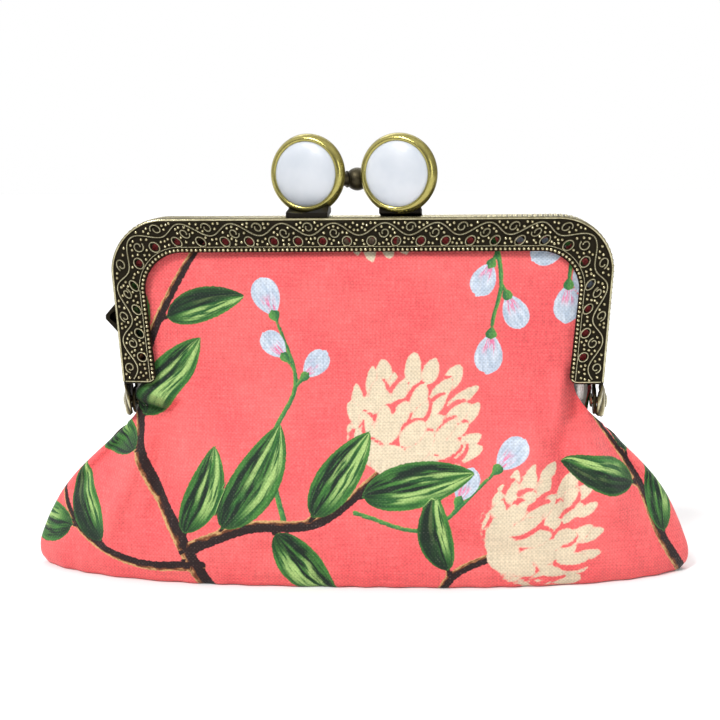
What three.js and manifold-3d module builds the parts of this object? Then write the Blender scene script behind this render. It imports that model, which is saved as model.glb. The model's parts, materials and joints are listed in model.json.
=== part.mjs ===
// Coin purse with a kiss-lock frame: two embossed brass frame halves, hinged at the ends of their legs,
// hold a cloth pouch with a lens-shaped base. Each half carries a round cabochon head with a lock bead.
// Millimetres, +Z up, the front faces -Y, and the origin is the middle of the base.
import * as THREE from 'three';
import { mergeVertices } from 'three/addons/utils/BufferGeometryUtils.js';
import Module from 'manifold-3d';

const wasm = await Module();
wasm.setup();

// ---- Driving dimensions: the frame ----
const FRAME_WIDTH = 125;
const FRAME_TOP = 90;
const LEG_END = 48.5;
const LEG_TAPER = 2.1; // each leg's end stands this much nearer the middle than its top
const BAND = 8.4; // width of the embossed plate
const SHEET = 0.7; // thickness of the brass
const CORNER_OUTER = 13;
const CORNER_INNER = 9.5;
const CORNER_STEPS = 8;
const LEG_END_ROUND = 2; // rounding of a leg's inner lower corner
const HALF_DEPTH = 6.6; // from the parting plane to a plate's outer face
const HALF_GAP = 0.2; // from the parting plane to the edge of a half's wall
const LIP_WIDTH = 5;
const LIP_NEAR = 2.5; // the lip's two faces, measured from the parting plane
const LIP_FAR = 1.8;
const HOLE_RADIUS = 0.95;
const HOLE_PITCH = 6.05;
const HOLE_COUNT = 14; // on each side of the middle
const HOLE_FROM_EDGE = 2.7; // from the plate's inner edge to the line of holes

// ---- Driving dimensions: the hinge ----
const HINGE_Z = 43.4;
const SHELL_EAR_X = 60.33; // outer face of the front half's ears where they leave the wall
const SHELL_CROWN = 0.75; // how far an ear is domed over the rivet
const SHELL_CROWN_RADIUS = 5;
const EAR_AROUND = 26; // points round an ear's edge
const SHELL_LEAN = 1.2; // how far its front lower corner leans in
const EYE_EAR_X = 59; // outer face of the back half's ears, inside the front ones
const EYE_RADIUS = 3.5;
const EAR_HOLE = 1.25;
const RIVET_RADIUS = 0.95;
const RIVET_HEAD = 1.8;
const RIVET_DOME = 0.5;
const RIVET_TAIL = 0.5;
const PLAY = 0.3; // between a rivet's heads and the ears
// The outline of a front ear, in Y and Z.
const SHELL_OUTLINE = [
  [-6.2, 50.2], [-6.1, 47], [-5.8, 44], [-5.1, 41.6], [-3.7, 40], [-2, 39.9], [-0.8, 39.3], [0.8, 39.5],
  [1.8, 40.2], [3.2, 41.2], [3.9, 43.2], [3.5, 45.4], [2.2, 47.2], [0, 47.9], [-0.5, 50.2],
];

// ---- Driving dimensions: the heads ----
const HEAD_Z = 101.3;
const HEAD_RADIUS = 10.1;
const HEAD_LEAN = 2.2; // each head leans this far past the parting plane from its own half
const HEAD_YAW = THREE.MathUtils.degToRad(17); // both heads are turned a little towards -X
const LEFT_HEAD_X = -13.1;
const RIGHT_HEAD_X = 10;
const BEZEL_DEPTH = 5;
const STONE_RADIUS = 8.3;
const STONE_HEIGHT = 6.9;
const SEAT = 0.1; // between pieces that are soldered or set in each other
const CLASP_FOOT_WIDTH = 10.4;
// A foot's section in Y and Z, for the left head: it stands on the front wall and leans over the back one.
const CLASP_FOOT = [[-5.8, 90], [-1, 90], [-0.2, 90.4], [4.4, 90.9], [4.4, 93.4], [0.2, 93.4], [-5.8, 91.2]];
const LOCK_BEAD = { x: -1.1, y: 3.55, z: 100.4, radius: 2.9 };
const LOCK_NECK = { x: -5.4, y: 1.3, radius: 2.05 }; // where the bead's neck starts, on the left bezel

// ---- Driving dimensions: the strap lug on the left leg ----
const LUG = { z: 64.6, halfHeight: 5.2, reach: 4.2, nearY: 1.2, farY: 5.4, skin: 0.8 };

// ---- Driving dimensions: the cloth ----
// Half width and half depth of the pouch at each height.
const POUCH = [
  { z: 0, wide: 77.6, deep: 18.6 },
  { z: 1.4, wide: 80.2, deep: 21.1 },
  { z: 5, wide: 81, deep: 22.5 },
  { z: 13, wide: 78.4, deep: 22.2 },
  { z: 21, wide: 74.5, deep: 20.3 },
  { z: 30, wide: 67.5, deep: 17.2 },
  { z: 39.5, wide: 58.3, deep: 12.8 },
];
const POUCH_AROUND = 32; // points round each ring
const LENS_ALONG = 3; // the plan's exponents: |x / wide|^3 + |y / deep|^1.35 = 1
const LENS_ACROSS = 1.35;
const PANEL_LOW = 47;
const PANEL_INSET = 4; // from the frame's outline to the cloth's edge in the channel
const PANEL_CORNER = 9;
const PANEL_BULGE = 3.2;
const PANEL_OPEN = 47.5; // half width of the cloth that bulges between the legs
const CORD_INSET = 2.3;
const CORD_RADIUS = 0.6;
const CORD_Y = 3.5;
const CORD_END = 57;
// Each layer's outer and inner face: in the channel from the parting plane, and in the pouch from its outside.
const LAYERS = {
  outer: { channel: [5.75, 5.25], pouch: [0, 0.7] },
  interlining: { channel: [5.15, 4.65], pouch: [1, 1.5] },
  lining: { channel: [4.55, 4.15], pouch: [1.8, 2.2] },
};

// ---- Materials ----
const material = (color, roughness, metalness) => new THREE.MeshStandardMaterial({ color, roughness, metalness });
const BRASS = material(0x7d7348, 0.42, 0.9);
const POLISHED = material(0xb4aa58, 0.25, 0.95);
const STONE = material(0xe4e9ef, 0.16, 0);
const CLOTH = material(0xf56a6c, 0.85, 0);
const LINING = material(0xf3e7d2, 0.9, 0);
const FLEECE = material(0xf4f2ec, 1, 0);
const PAPER = material(0xc9ab7c, 0.95, 0);

// ---- Solids ----
function toSolid(geometry) {
  const bare = geometry.clone();
  bare.deleteAttribute('normal');
  bare.deleteAttribute('uv');
  const merged = mergeVertices(bare, 1e-4);
  const triangles = [];
  for (let i = 0; i < merged.index.count; i += 3) {
    const [a, b, c] = merged.index.array.slice(i, i + 3);
    if (a !== b && b !== c && c !== a) triangles.push(a, b, c);
  }
  return new wasm.Manifold(new wasm.Mesh({
    numProp: 3,
    vertProperties: new Float32Array(merged.attributes.position.array),
    triVerts: new Uint32Array(triangles),
  }));
}

function toGeometry(solid) {
  const mesh = solid.getMesh();
  const positions = new Float32Array(mesh.numVert * 3);
  for (let i = 0; i < mesh.numVert; i++) {
    positions.set(mesh.vertProperties.subarray(i * mesh.numProp, i * mesh.numProp + 3), i * 3);
  }
  const geometry = new THREE.BufferGeometry();
  geometry.setAttribute('position', new THREE.BufferAttribute(positions, 3));
  geometry.setIndex(new THREE.BufferAttribute(new Uint32Array(mesh.triVerts), 1));
  geometry.computeVertexNormals();
  return geometry;
}

// A flat shape drawn in X and Z, as thick as the stretch of Y given.
function slab(shape, lowY, highY) {
  const geometry = new THREE.ExtrudeGeometry(shape, { depth: highY - lowY, bevelEnabled: false, curveSegments: 4 });
  return geometry.rotateX(Math.PI / 2).translate(0, highY, 0);
}

// A flat shape drawn in Y and Z, as thick as the stretch of X given.
function sideSlab(shape, lowX, highX) {
  const geometry = new THREE.ExtrudeGeometry(shape, { depth: highX - lowX, bevelEnabled: false, curveSegments: 8 });
  const turn = new THREE.Matrix4().makeBasis(
    new THREE.Vector3(0, 1, 0), new THREE.Vector3(0, 0, 1), new THREE.Vector3(1, 0, 0));
  return geometry.applyMatrix4(turn).translate(lowX, 0, 0);
}

function block(low, high) {
  const size = high.map((value, i) => value - low[i]);
  const middle = high.map((value, i) => (value + low[i]) / 2);
  return new THREE.BoxGeometry(...size).translate(...middle);
}

// A closed skin through rings of equally many points. Its ends are closed by fans, or joined to each other.
function skin(rings, looped = false) {
  const count = rings[0].length;
  const points = [...rings.flat()];
  const faces = [];
  for (let r = 0; r + (looped ? 0 : 1) < rings.length; r++) {
    const near = r * count;
    const far = (r + 1) % rings.length * count;
    for (let i = 0; i < count; i++) {
      const next = (i + 1) % count;
      faces.push(near + i, near + next, far + next, near + i, far + next, far + i);
    }
  }
  if (!looped) {
    const middle = (ring) => ring.reduce((sum, p) => sum.add(p), new THREE.Vector3()).divideScalar(count);
    const first = points.push(middle(rings[0])) - 1;
    const last = points.push(middle(rings[rings.length - 1])) - 1;
    const top = (rings.length - 1) * count;
    for (let i = 0; i < count; i++) {
      const next = (i + 1) % count;
      faces.push(first, next, i, last, top + i, top + next);
    }
  }
  const geometry = new THREE.BufferGeometry().setFromPoints(points);
  geometry.setIndex(faces);
  geometry.computeVertexNormals();
  return geometry;
}

// ---- The frame's outline ----
// How far a leg has come in towards the middle at a height.
function taper(z) {
  const cornerZ = FRAME_TOP - CORNER_OUTER;
  return LEG_TAPER * THREE.MathUtils.clamp((cornerZ - z) / (cornerZ - LEG_END), 0, 1);
}

// Half width of the outline moved in by inset, at a height.
function halfWidth(z, inset, radius) {
  const cornerZ = FRAME_TOP - inset - radius;
  const straight = FRAME_WIDTH / 2 - inset;
  if (z <= cornerZ) return straight - taper(z);
  return straight - radius + Math.sqrt(Math.max(0, radius ** 2 - (z - cornerZ) ** 2));
}

// The outline moved in by inset, from the left leg's end over the top to the right leg's end.
function outline(inset, radius, legEnd = LEG_END, rounded = false) {
  const cornerX = FRAME_WIDTH / 2 - inset - radius;
  const cornerZ = FRAME_TOP - inset - radius;
  const right = [];
  for (let i = 0; i <= CORNER_STEPS; i++) {
    const angle = Math.PI / 2 * (1 - i / CORNER_STEPS);
    right.push(new THREE.Vector2(cornerX + radius * Math.cos(angle), cornerZ + radius * Math.sin(angle)));
  }
  const footX = halfWidth(legEnd, inset, radius);
  if (rounded) {
    for (let i = 0; i <= 3; i++) {
      const angle = Math.PI * (1 + i / 6);
      right.push(new THREE.Vector2(
        footX + LEG_END_ROUND * (1 + Math.cos(angle)), legEnd + LEG_END_ROUND * (1 + Math.sin(angle))));
    }
  } else {
    right.push(new THREE.Vector2(footX, legEnd));
  }
  const left = right.map((p) => new THREE.Vector2(-p.x, p.y)).reverse();
  return [...left, ...right];
}

// A U-shaped band between two outlines.
function bandShape(outer, inner) {
  return new THREE.Shape([...outer, ...[...inner].reverse()]);
}

// Points spaced evenly along a line of points, on both sides of its middle.
function spacedFromMiddle(points, pitch, count) {
  const half = points.slice(points.length / 2).map((p) => p.clone());
  half.unshift(new THREE.Vector2(0, half[0].y));
  const found = [];
  let walked = 0;
  let next = pitch / 2;
  for (let i = 1; i < half.length; i++) {
    const step = half[i].distanceTo(half[i - 1]);
    while (next <= walked + step && found.length < count) {
      found.push(half[i - 1].clone().lerp(half[i], (next - walked) / step));
      next += pitch;
    }
    walked += step;
  }
  return [...found, ...found.map((p) => new THREE.Vector2(-p.x, p.y))];
}

// ---- The frame halves, modelled as the front one ----
function frameHalf(ear) {
  const plate = bandShape(outline(0, CORNER_OUTER), outline(BAND, CORNER_INNER, LEG_END, true));
  const holeLine = outline(BAND - HOLE_FROM_EDGE, CORNER_INNER + HOLE_FROM_EDGE);
  for (const at of spacedFromMiddle(holeLine, HOLE_PITCH, HOLE_COUNT)) {
    const hole = new THREE.Path();
    hole.absarc(at.x, at.y, HOLE_RADIUS, 0, 2 * Math.PI, false);
    plate.holes.push(hole);
  }
  const wall = bandShape(outline(0, CORNER_OUTER), outline(SHEET, CORNER_OUTER - SHEET));
  const lip = bandShape(outline(0, CORNER_OUTER), outline(LIP_WIDTH, CORNER_OUTER - LIP_WIDTH));
  const solid = toSolid(slab(plate, -HALF_DEPTH, -HALF_DEPTH + SHEET))
    .add(toSolid(slab(wall, -HALF_DEPTH, -HALF_GAP)))
    .add(toSolid(slab(lip, -LIP_NEAR, -LIP_FAR)));
  return toGeometry(solid.add(ear(-1)).add(ear(1)));
}

// How far out the face of a front ear stands, at a place in Y and Z.
function shellFace(y, z) {
  const crown = Math.max(0, 1 - (y ** 2 + (z - HINGE_Z) ** 2) / SHELL_CROWN_RADIUS ** 2);
  const down = THREE.MathUtils.clamp((LEG_END - z) / 9, 0, 1);
  const forward = THREE.MathUtils.clamp(-y / 6, 0, 1) ** 1.5;
  return SHELL_EAR_X + SHELL_CROWN * crown - SHELL_LEAN * down * forward;
}

// An ear of the front half: a domed shell that hangs from the wall over the rivet.
function shellEar(side) {
  const around = new THREE.Shape(SHELL_OUTLINE.map(([y, z]) => new THREE.Vector2(y, z)));
  around.closePath();
  const edge = around.getSpacedPoints(EAR_AROUND).slice(0, EAR_AROUND);
  const ring = (share, inset) => edge.map((p) => {
    const angle = Math.atan2(p.y - HINGE_Z, p.x);
    const y = THREE.MathUtils.lerp(EAR_HOLE * Math.cos(angle), p.x, share);
    const z = THREE.MathUtils.lerp(HINGE_Z + EAR_HOLE * Math.sin(angle), p.y, share);
    return new THREE.Vector3(side * (shellFace(y, z) - inset), y, z);
  });
  const shares = [0, 0.33, 0.67, 1];
  const rings = [...shares.map((share) => ring(share, 0)), ...shares.reverse().map((share) => ring(share, SHEET))];
  return toSolid(skin(side > 0 ? rings.reverse() : rings, true));
}

// An ear of the back half: a flat eye inside the front half's ear, stepped in from the wall.
function eyeEar(side) {
  const neck = new THREE.Shape([
    new THREE.Vector2(-5.4, 53.5), new THREE.Vector2(-5.4, 48.6), new THREE.Vector2(-EYE_RADIUS, HINGE_Z),
    new THREE.Vector2(0, HINGE_Z), new THREE.Vector2(-0.7, HINGE_Z + 4.2), new THREE.Vector2(-0.7, 53.5),
  ]);
  const eye = new THREE.Shape();
  eye.absarc(0, HINGE_Z, EYE_RADIUS, 0, 2 * Math.PI, false);
  const bore = new THREE.Shape();
  bore.absarc(0, HINGE_Z, EAR_HOLE, 0, 2 * Math.PI, false);
  const spanX = (near, far) => (side > 0 ? [near, far] : [-far, -near]);
  const plate = spanX(EYE_EAR_X - SHEET, EYE_EAR_X);
  const step = spanX(EYE_EAR_X - 0.1, SHELL_EAR_X - 0.1);
  return toSolid(sideSlab(neck, ...plate))
    .add(toSolid(sideSlab(eye, ...plate)))
    .subtract(toSolid(sideSlab(bore, plate[0] - 1, plate[1] + 1)))
    .add(toSolid(block([step[0], -5.2, 50], [step[1], -1, 53.5])));
}

// ---- The hinge rivets ----
function rivet(side) {
  const shaftOut = SHELL_EAR_X + SHELL_CROWN + PLAY;
  const shaftIn = EYE_EAR_X - SHEET - PLAY;
  const profile = [
    [0, shaftIn - RIVET_TAIL], [1.5, shaftIn - RIVET_TAIL], [1.75, shaftIn], [RIVET_RADIUS, shaftIn],
    [RIVET_RADIUS, shaftOut], [RIVET_HEAD, shaftOut], [1.3, shaftOut + 0.8 * RIVET_DOME], [0, shaftOut + RIVET_DOME],
  ].map(([r, x]) => new THREE.Vector2(r, x));
  return new THREE.LatheGeometry(profile, 14).rotateZ(side > 0 ? -Math.PI / 2 : Math.PI / 2).translate(0, 0, HINGE_Z);
}

// ---- The heads: a foot, a bezel cup and its cabochon, and the lock bead between the heads ----
// Each profile is a list of [radius, distance from the back].
const BEZEL_PROFILE = [
  [0, 0], [6.6, 0], [8.9, 1.1], [HEAD_RADIUS, 2.8], [9.9, 3.8], [9.4, 4.6], [8.9, BEZEL_DEPTH],
  [STONE_RADIUS + SEAT, 4.7], [STONE_RADIUS + SEAT, 1.6], [0, 1.6],
];

function stoneProfile() {
  const rim = 4.2;
  const points = [[0, 1.6 + SEAT], [STONE_RADIUS, 1.6 + SEAT]];
  for (let i = 0; i <= 5; i++) {
    const angle = Math.PI / 2 * (i / 5);
    points.push([STONE_RADIUS * Math.cos(angle), rim + (STONE_HEIGHT - rim) * Math.sin(angle)]);
  }
  points[points.length - 1][0] = 0;
  return points;
}

// A profile turned about the axis that points forward, with the middle of the bezel's depth at the origin.
function turned(profile) {
  const points = profile.map(([r, h]) => new THREE.Vector2(r, h));
  return new THREE.LatheGeometry(points, 32).rotateX(Math.PI).translate(0, BEZEL_DEPTH / 2, 0);
}

// A cup's outside made a little larger and as deep as given, to trim what is soldered against it.
function cupClearance(x, y, depth) {
  const size = HEAD_RADIUS + SEAT;
  return toSolid(new THREE.CylinderGeometry(size, size, depth, 48)
    .rotateZ(-HEAD_YAW).translate(x, y, HEAD_Z));
}

function claspFoot(x, lean) {
  const section = CLASP_FOOT.map(([y, z]) => new THREE.Vector2(y * lean, z + SEAT));
  if (lean < 0) section.reverse();
  const body = sideSlab(new THREE.Shape(section), x - CLASP_FOOT_WIDTH / 2, x + CLASP_FOOT_WIDTH / 2);
  return toGeometry(toSolid(body).subtract(cupClearance(x, HEAD_LEAN * lean, 4 * BEZEL_DEPTH)));
}

// The bead beside the left head, on a neck that reaches back to its bezel.
function lockBead() {
  const centre = new THREE.Vector3(LOCK_BEAD.x, LOCK_BEAD.y, LOCK_BEAD.z);
  const end = new THREE.Vector3(LOCK_NECK.x, LOCK_NECK.y, LOCK_BEAD.z);
  const along = end.clone().sub(centre);
  const turn = new THREE.Quaternion().setFromUnitVectors(new THREE.Vector3(0, 1, 0), along.clone().normalize());
  const neck = new THREE.CylinderGeometry(LOCK_NECK.radius, LOCK_NECK.radius, along.length(), 16)
    .applyQuaternion(turn).translate(...centre.clone().add(end).divideScalar(2).toArray());
  const ball = new THREE.SphereGeometry(LOCK_BEAD.radius, 18, 12).rotateX(Math.PI / 2)
    .translate(...centre.toArray());
  const trim = cupClearance(LEFT_HEAD_X, HEAD_LEAN, BEZEL_DEPTH + 2 * SEAT);
  return toGeometry(toSolid(ball).add(toSolid(neck)).subtract(trim));
}

// ---- The strap lug: a pointed brass pocket on the side of the left leg ----
function strapLug() {
  const wallX = -halfWidth(LUG.z + LUG.halfHeight, 0, CORNER_OUTER) - SEAT;
  const point = wallX - LUG.reach;
  const tent = (shrink) => new THREE.Shape([
    new THREE.Vector2(wallX + shrink * 2, LUG.z - LUG.halfHeight + shrink),
    new THREE.Vector2(wallX + shrink * 2, LUG.z + LUG.halfHeight - shrink),
    new THREE.Vector2(point + shrink * 1.3, LUG.z + 0.5), new THREE.Vector2(point + shrink * 1.3, LUG.z - 0.5),
  ]);
  const body = toSolid(slab(tent(0), LUG.nearY, LUG.farY));
  const hollow = toSolid(slab(tent(LUG.skin), LUG.nearY - 1, LUG.farY - LUG.skin));
  const wall = block([wallX, LUG.nearY - 2, LUG.z - 10], [wallX + 5, LUG.farY + 2, LUG.z + 10]);
  return toGeometry(body.subtract(hollow).subtract(toSolid(wall)));
}

// ---- The cloth between the legs, modelled as the front panel ----
function bulge(x, z) {
  const top = FRAME_TOP - BAND;
  const down = THREE.MathUtils.clamp((top - z) / (top - PANEL_LOW), 0, 1);
  const across = 1 - Math.min(1, Math.abs(x) / PANEL_OPEN) ** 2.6;
  return PANEL_BULGE * down ** 0.9 * across;
}

function panel([outerFace, innerFace]) {
  const columns = 12;
  const rows = 7;
  const top = FRAME_TOP - PANEL_INSET;
  const grid = (face) => {
    const points = [];
    for (let r = 0; r <= rows; r++) {
      const z = PANEL_LOW + (top - PANEL_LOW) * Math.sin(Math.PI / 2 * r / rows);
      for (let c = 0; c <= columns; c++) {
        const x = halfWidth(z, PANEL_INSET, PANEL_CORNER) * (2 * c / columns - 1);
        points.push(new THREE.Vector3(x, -face - bulge(x, z), z));
      }
    }
    return points;
  };
  const points = [...grid(outerFace), ...grid(innerFace)];
  const wide = columns + 1;
  const back = wide * (rows + 1);
  const faces = [];
  for (let r = 0; r < rows; r++) {
    for (let c = 0; c < columns; c++) {
      const a = r * wide + c;
      faces.push(a, a + 1, a + wide + 1, a, a + wide + 1, a + wide);
      faces.push(back + a, back + a + wide + 1, back + a + 1, back + a, back + a + wide, back + a + wide + 1);
    }
  }
  const rim = [];
  for (let c = 0; c < columns; c++) rim.push(c);
  for (let r = 0; r < rows; r++) rim.push(r * wide + columns);
  for (let c = columns; c > 0; c--) rim.push(rows * wide + c);
  for (let r = rows; r > 0; r--) rim.push(r * wide);
  rim.forEach((a, i) => {
    const b = rim[(i + 1) % rim.length];
    faces.push(a, back + a, back + b, a, back + b, b);
  });
  const geometry = new THREE.BufferGeometry().setFromPoints(points);
  geometry.setIndex(faces);
  geometry.computeVertexNormals();
  return geometry;
}

// The twisted paper cord that wedges the cloth into the channel.
function paperCord() {
  const flat = outline(CORD_INSET, CORNER_OUTER - CORD_INSET, CORD_END);
  const curve = new THREE.CurvePath();
  const line = flat.map((p) => new THREE.Vector3(p.x, -CORD_Y, p.y));
  for (let i = 1; i < line.length; i++) curve.add(new THREE.LineCurve3(line[i - 1], line[i]));
  const section = new THREE.Shape();
  section.absarc(0, 0, CORD_RADIUS, 0, 2 * Math.PI, false);
  return new THREE.ExtrudeGeometry(section, { steps: 56, extrudePath: curve, bevelEnabled: false, curveSegments: 3 });
}

// ---- The pouch below the hinge ----
function pouchRing({ z, wide, deep }, inward, floor) {
  const ring = [];
  for (let i = 0; i < POUCH_AROUND; i++) {
    const angle = 2 * Math.PI * i / POUCH_AROUND;
    const along = Math.sign(Math.cos(angle)) * Math.abs(Math.cos(angle)) ** (2 / LENS_ALONG);
    const across = Math.sign(Math.sin(angle)) * Math.abs(Math.sin(angle)) ** (2 / LENS_ACROSS);
    ring.push(new THREE.Vector3((wide - inward * 2.2) * along, (deep - inward) * across, Math.max(z, floor)));
  }
  return ring;
}

function pouch([outside, inside]) {
  const top = POUCH[POUCH.length - 1].z;
  const lift = (level, by) => ({ ...level, z: by + level.z * (top - by) / top });
  const outer = POUCH.map((level) => pouchRing(lift(level, outside), outside, outside));
  const inner = POUCH.map((level) => pouchRing(lift(level, inside), inside, inside));
  return skin([...outer, ...inner.reverse()]);
}

// ---- Assembly ----
const purse = new THREE.Group();
const frontHalf = new THREE.Group();
const backHalf = new THREE.Group();
backHalf.rotation.z = Math.PI;
purse.add(frontHalf, backHalf);

function add(parent, name, geometry, finish) {
  const mesh = new THREE.Mesh(geometry, finish);
  mesh.name = name;
  parent.add(mesh);
  return mesh;
}

function addCloth(parent, prefix) {
  add(parent, `${prefix}_panel`, panel(LAYERS.outer.channel), CLOTH);
  add(parent, `${prefix}_interlining`, panel(LAYERS.interlining.channel), FLEECE);
  add(parent, `${prefix}_lining`, panel(LAYERS.lining.channel), LINING);
  add(parent, `${prefix}_paper_cord`, paperCord(), PAPER);
}

function addHead(side, x, lean) {
  const head = new THREE.Group();
  head.position.set(x, HEAD_LEAN * lean, HEAD_Z);
  head.rotation.z = -HEAD_YAW;
  add(head, `${side}_bezel`, turned(BEZEL_PROFILE), POLISHED);
  add(head, `${side}_cabochon`, turned(stoneProfile()), STONE);
  purse.add(head);
  add(purse, `${side}_clasp_foot`, claspFoot(x, lean), BRASS);
}

add(frontHalf, 'front_frame', frameHalf(shellEar), BRASS);
add(backHalf, 'back_frame', frameHalf(eyeEar), BRASS);
addCloth(frontHalf, 'front');
addCloth(backHalf, 'back');
addHead('left', LEFT_HEAD_X, 1);
addHead('right', RIGHT_HEAD_X, -1);
add(purse, 'lock_bead', lockBead(), BRASS);
add(purse, 'strap_lug', strapLug(), BRASS);
add(purse, 'left_hinge_rivet', rivet(-1), BRASS);
add(purse, 'right_hinge_rivet', rivet(1), BRASS);
add(purse, 'pouch_outer', pouch(LAYERS.outer.pouch), CLOTH);
add(purse, 'pouch_interlining', pouch(LAYERS.interlining.pouch), FLEECE);
add(purse, 'pouch_lining', pouch(LAYERS.lining.pouch), LINING);

export default purse;
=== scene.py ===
"""Looks for the kiss-lock coin purse: printed cloth, embossed brass frame, cabochon heads.

Lengths named in millimetres are turned into metres by MM. The front faces -Y.
"""

import json
import math

import bmesh
import bpy
import numpy as np
from mathutils import Matrix, Vector


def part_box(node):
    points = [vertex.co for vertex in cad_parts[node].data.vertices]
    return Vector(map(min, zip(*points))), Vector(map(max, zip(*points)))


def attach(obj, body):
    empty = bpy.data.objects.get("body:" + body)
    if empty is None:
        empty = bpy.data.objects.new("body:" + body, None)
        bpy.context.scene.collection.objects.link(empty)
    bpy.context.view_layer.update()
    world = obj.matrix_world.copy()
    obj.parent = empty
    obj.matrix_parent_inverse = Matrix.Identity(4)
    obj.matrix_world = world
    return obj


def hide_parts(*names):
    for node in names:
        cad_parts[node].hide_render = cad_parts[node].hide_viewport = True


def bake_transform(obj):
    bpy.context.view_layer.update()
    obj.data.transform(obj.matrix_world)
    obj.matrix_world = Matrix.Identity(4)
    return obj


MM = 0.001

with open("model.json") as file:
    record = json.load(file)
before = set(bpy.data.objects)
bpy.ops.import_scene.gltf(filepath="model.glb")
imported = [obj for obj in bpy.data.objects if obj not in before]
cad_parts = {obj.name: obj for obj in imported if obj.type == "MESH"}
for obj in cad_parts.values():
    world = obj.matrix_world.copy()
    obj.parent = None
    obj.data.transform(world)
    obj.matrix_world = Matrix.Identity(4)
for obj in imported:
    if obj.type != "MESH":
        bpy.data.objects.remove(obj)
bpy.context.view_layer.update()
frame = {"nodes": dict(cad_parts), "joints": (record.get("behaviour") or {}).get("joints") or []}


# ---------------------------------------------------------------- sizes taken from the frame
def node_box(name):
    """Lowest and highest corner of a CAD node, in millimetres."""
    low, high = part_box(name)
    return np.array(low) / MM, np.array(high) / MM


FRAME_LOW, FRAME_HIGH = node_box("front_frame")
FRAME_HALF_WIDTH = FRAME_HIGH[0]
FRAME_TOP = FRAME_HIGH[2]
FRAME_FRONT = -FRAME_LOW[1]  # distance from the parting plane to the plate's face
HINGE_Z = frame["joints"][0]["pos_m"][2] / MM

# ---------------------------------------------------------------- driving values: the frame
BAND = 8.4  # width of the embossed plate
LEG_END = 48.5  # height of the legs' lower ends
LEG_TAPER = 2.1  # each leg's end stands this much nearer the middle than its top
CORNER_OUTER = 13
CORNER_INNER = 9.5
SHEET = 0.7  # thickness of the brass
HOLE_RADIUS = 0.85
HOLE_COUNT = 14  # on each side of the middle
HOLE_INSET = 5.7  # from the plate's outer edge to the line of holes
HOLE_STEP = 6.2
FOOT_ROUND = 2  # rounding of a leg's inner lower corner
ROW_PITCH = 1.2  # between the beads of a row
BEAD_RADIUS = 0.45
BEAD_PITCH = 0.94  # least distance between the beads that fill the ground
SHELL_EAR_X = 60.33  # outer face of the front half's ears where they leave the wall
SHELL_CROWN = 0.75  # how far an ear is domed over the rivet
SHELL_LEAN = 2.7  # how far its front lower corner leans in
EYE_EAR_X = 59  # outer face of the back half's ears, inside the front ones
EYE_RADIUS = 3.5
EAR_HOLE = 1.25
RIVET_RADIUS = 0.95
PLAY = 0.3  # between a rivet's heads and the ears

# ---------------------------------------------------------------- driving values: the heads
HEAD_YAW = 17  # degrees that both heads are turned towards -X
BEZEL_DEPTH = 5
STONE_RADIUS = 8.3
STONE_FOOT = 1.7  # from the back of the cup to the flat underside of the stone
STONE_SHOULDER = 4.2  # and to where its dome starts
STONE_DOME = 2.2  # height of the dome
HEAD_DROP = 0.6  # the heads are pressed this far into their feet
BEAD_DROP = 1.1  # the lock bead sits this much lower than its CAD node
LOCK_RADIUS = 2.9
LOCK_Y = 3.55
LOCK_NECK_X = -5.4
LOCK_NECK_Y = 1.3

# ---------------------------------------------------------------- driving values: the camera
CAMERA_AZIMUTH = 4.2
CAMERA_ELEVATION = 8.2
CAMERA_DISTANCE = 380
CAMERA_ROLL = -0.55
CAMERA_LENS = 74.6
CAMERA_TARGET = (-0.6, 0, 53.6)
BRIGHT_SIDE = (-0.1, 0.55, 0.75)
BACKDROP = 1.0  # how bright the background looks
DAYLIGHT = (0.15, 1)  # how brightly the studio lights the purse, from low in front and from high behind
PAINT_LEVEL = 0.82  # the lights add up to a little more than 1, so paints are a little darker
SUN_ENERGY = 2.15
SUN_SPREAD = 14
SUN_FROM = (-380, -560, 720)
# Area lights: name, place, target, size and power in watts.
LIGHTS = [
    ("key", (-210, -430, 390), (0, 0, 60), (45, 45), 0.45),
    ("fill", (420, -360, 200), (0, 0, 45), (240, 320), 0.6),
    ("rim", (0, 330, 420), (0, 0, 60), (420, 160), 0.6),
]
FLOOR_SPAN = 3000

# ---------------------------------------------------------------- driving values: the cloth
THREAD_PITCH = 0.5


# ---------------------------------------------------------------- small helpers
def smoothstep(value, low, high):
    t = np.clip((value - low) / (high - low), 0, 1)
    return t * t * (3 - 2 * t)


def smooth_table(rows):
    """A smooth function through [place, value] rows, for places that rise."""
    places, values = np.array(rows, float).T
    slopes = np.gradient(values, places)

    def read(at):
        at = np.clip(at, places[0], places[-1])
        k = np.clip(np.searchsorted(places, at) - 1, 0, len(places) - 2)
        span = places[k + 1] - places[k]
        t = (at - places[k]) / span
        start = (1 + 2 * t) * (1 - t) ** 2 * values[k] + t * (1 - t) ** 2 * span * slopes[k]
        end = t * t * (3 - 2 * t) * values[k + 1] - t * t * (1 - t) * span * slopes[k + 1]
        return start + end

    return read


def curve_through(points, step):
    """Points along a smooth curve through a few points, about one step apart."""
    points = np.array(points, float)
    padded = np.vstack([2 * points[0] - points[1], points, 2 * points[-1] - points[-2]])
    found = []
    for k in range(len(points) - 1):
        p0, p1, p2, p3 = padded[k : k + 4]
        count = max(2, int(np.linalg.norm(p2 - p1) / step))
        for t in np.arange(count) / count:
            found.append(
                0.5 * (2 * p1 + (p2 - p0) * t + (2 * p0 - 5 * p1 + 4 * p2 - p3) * t**2
                       + (3 * p1 - p0 - 3 * p2 + p3) * t**3)
            )
    return np.array([*found, points[-1]])


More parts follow.
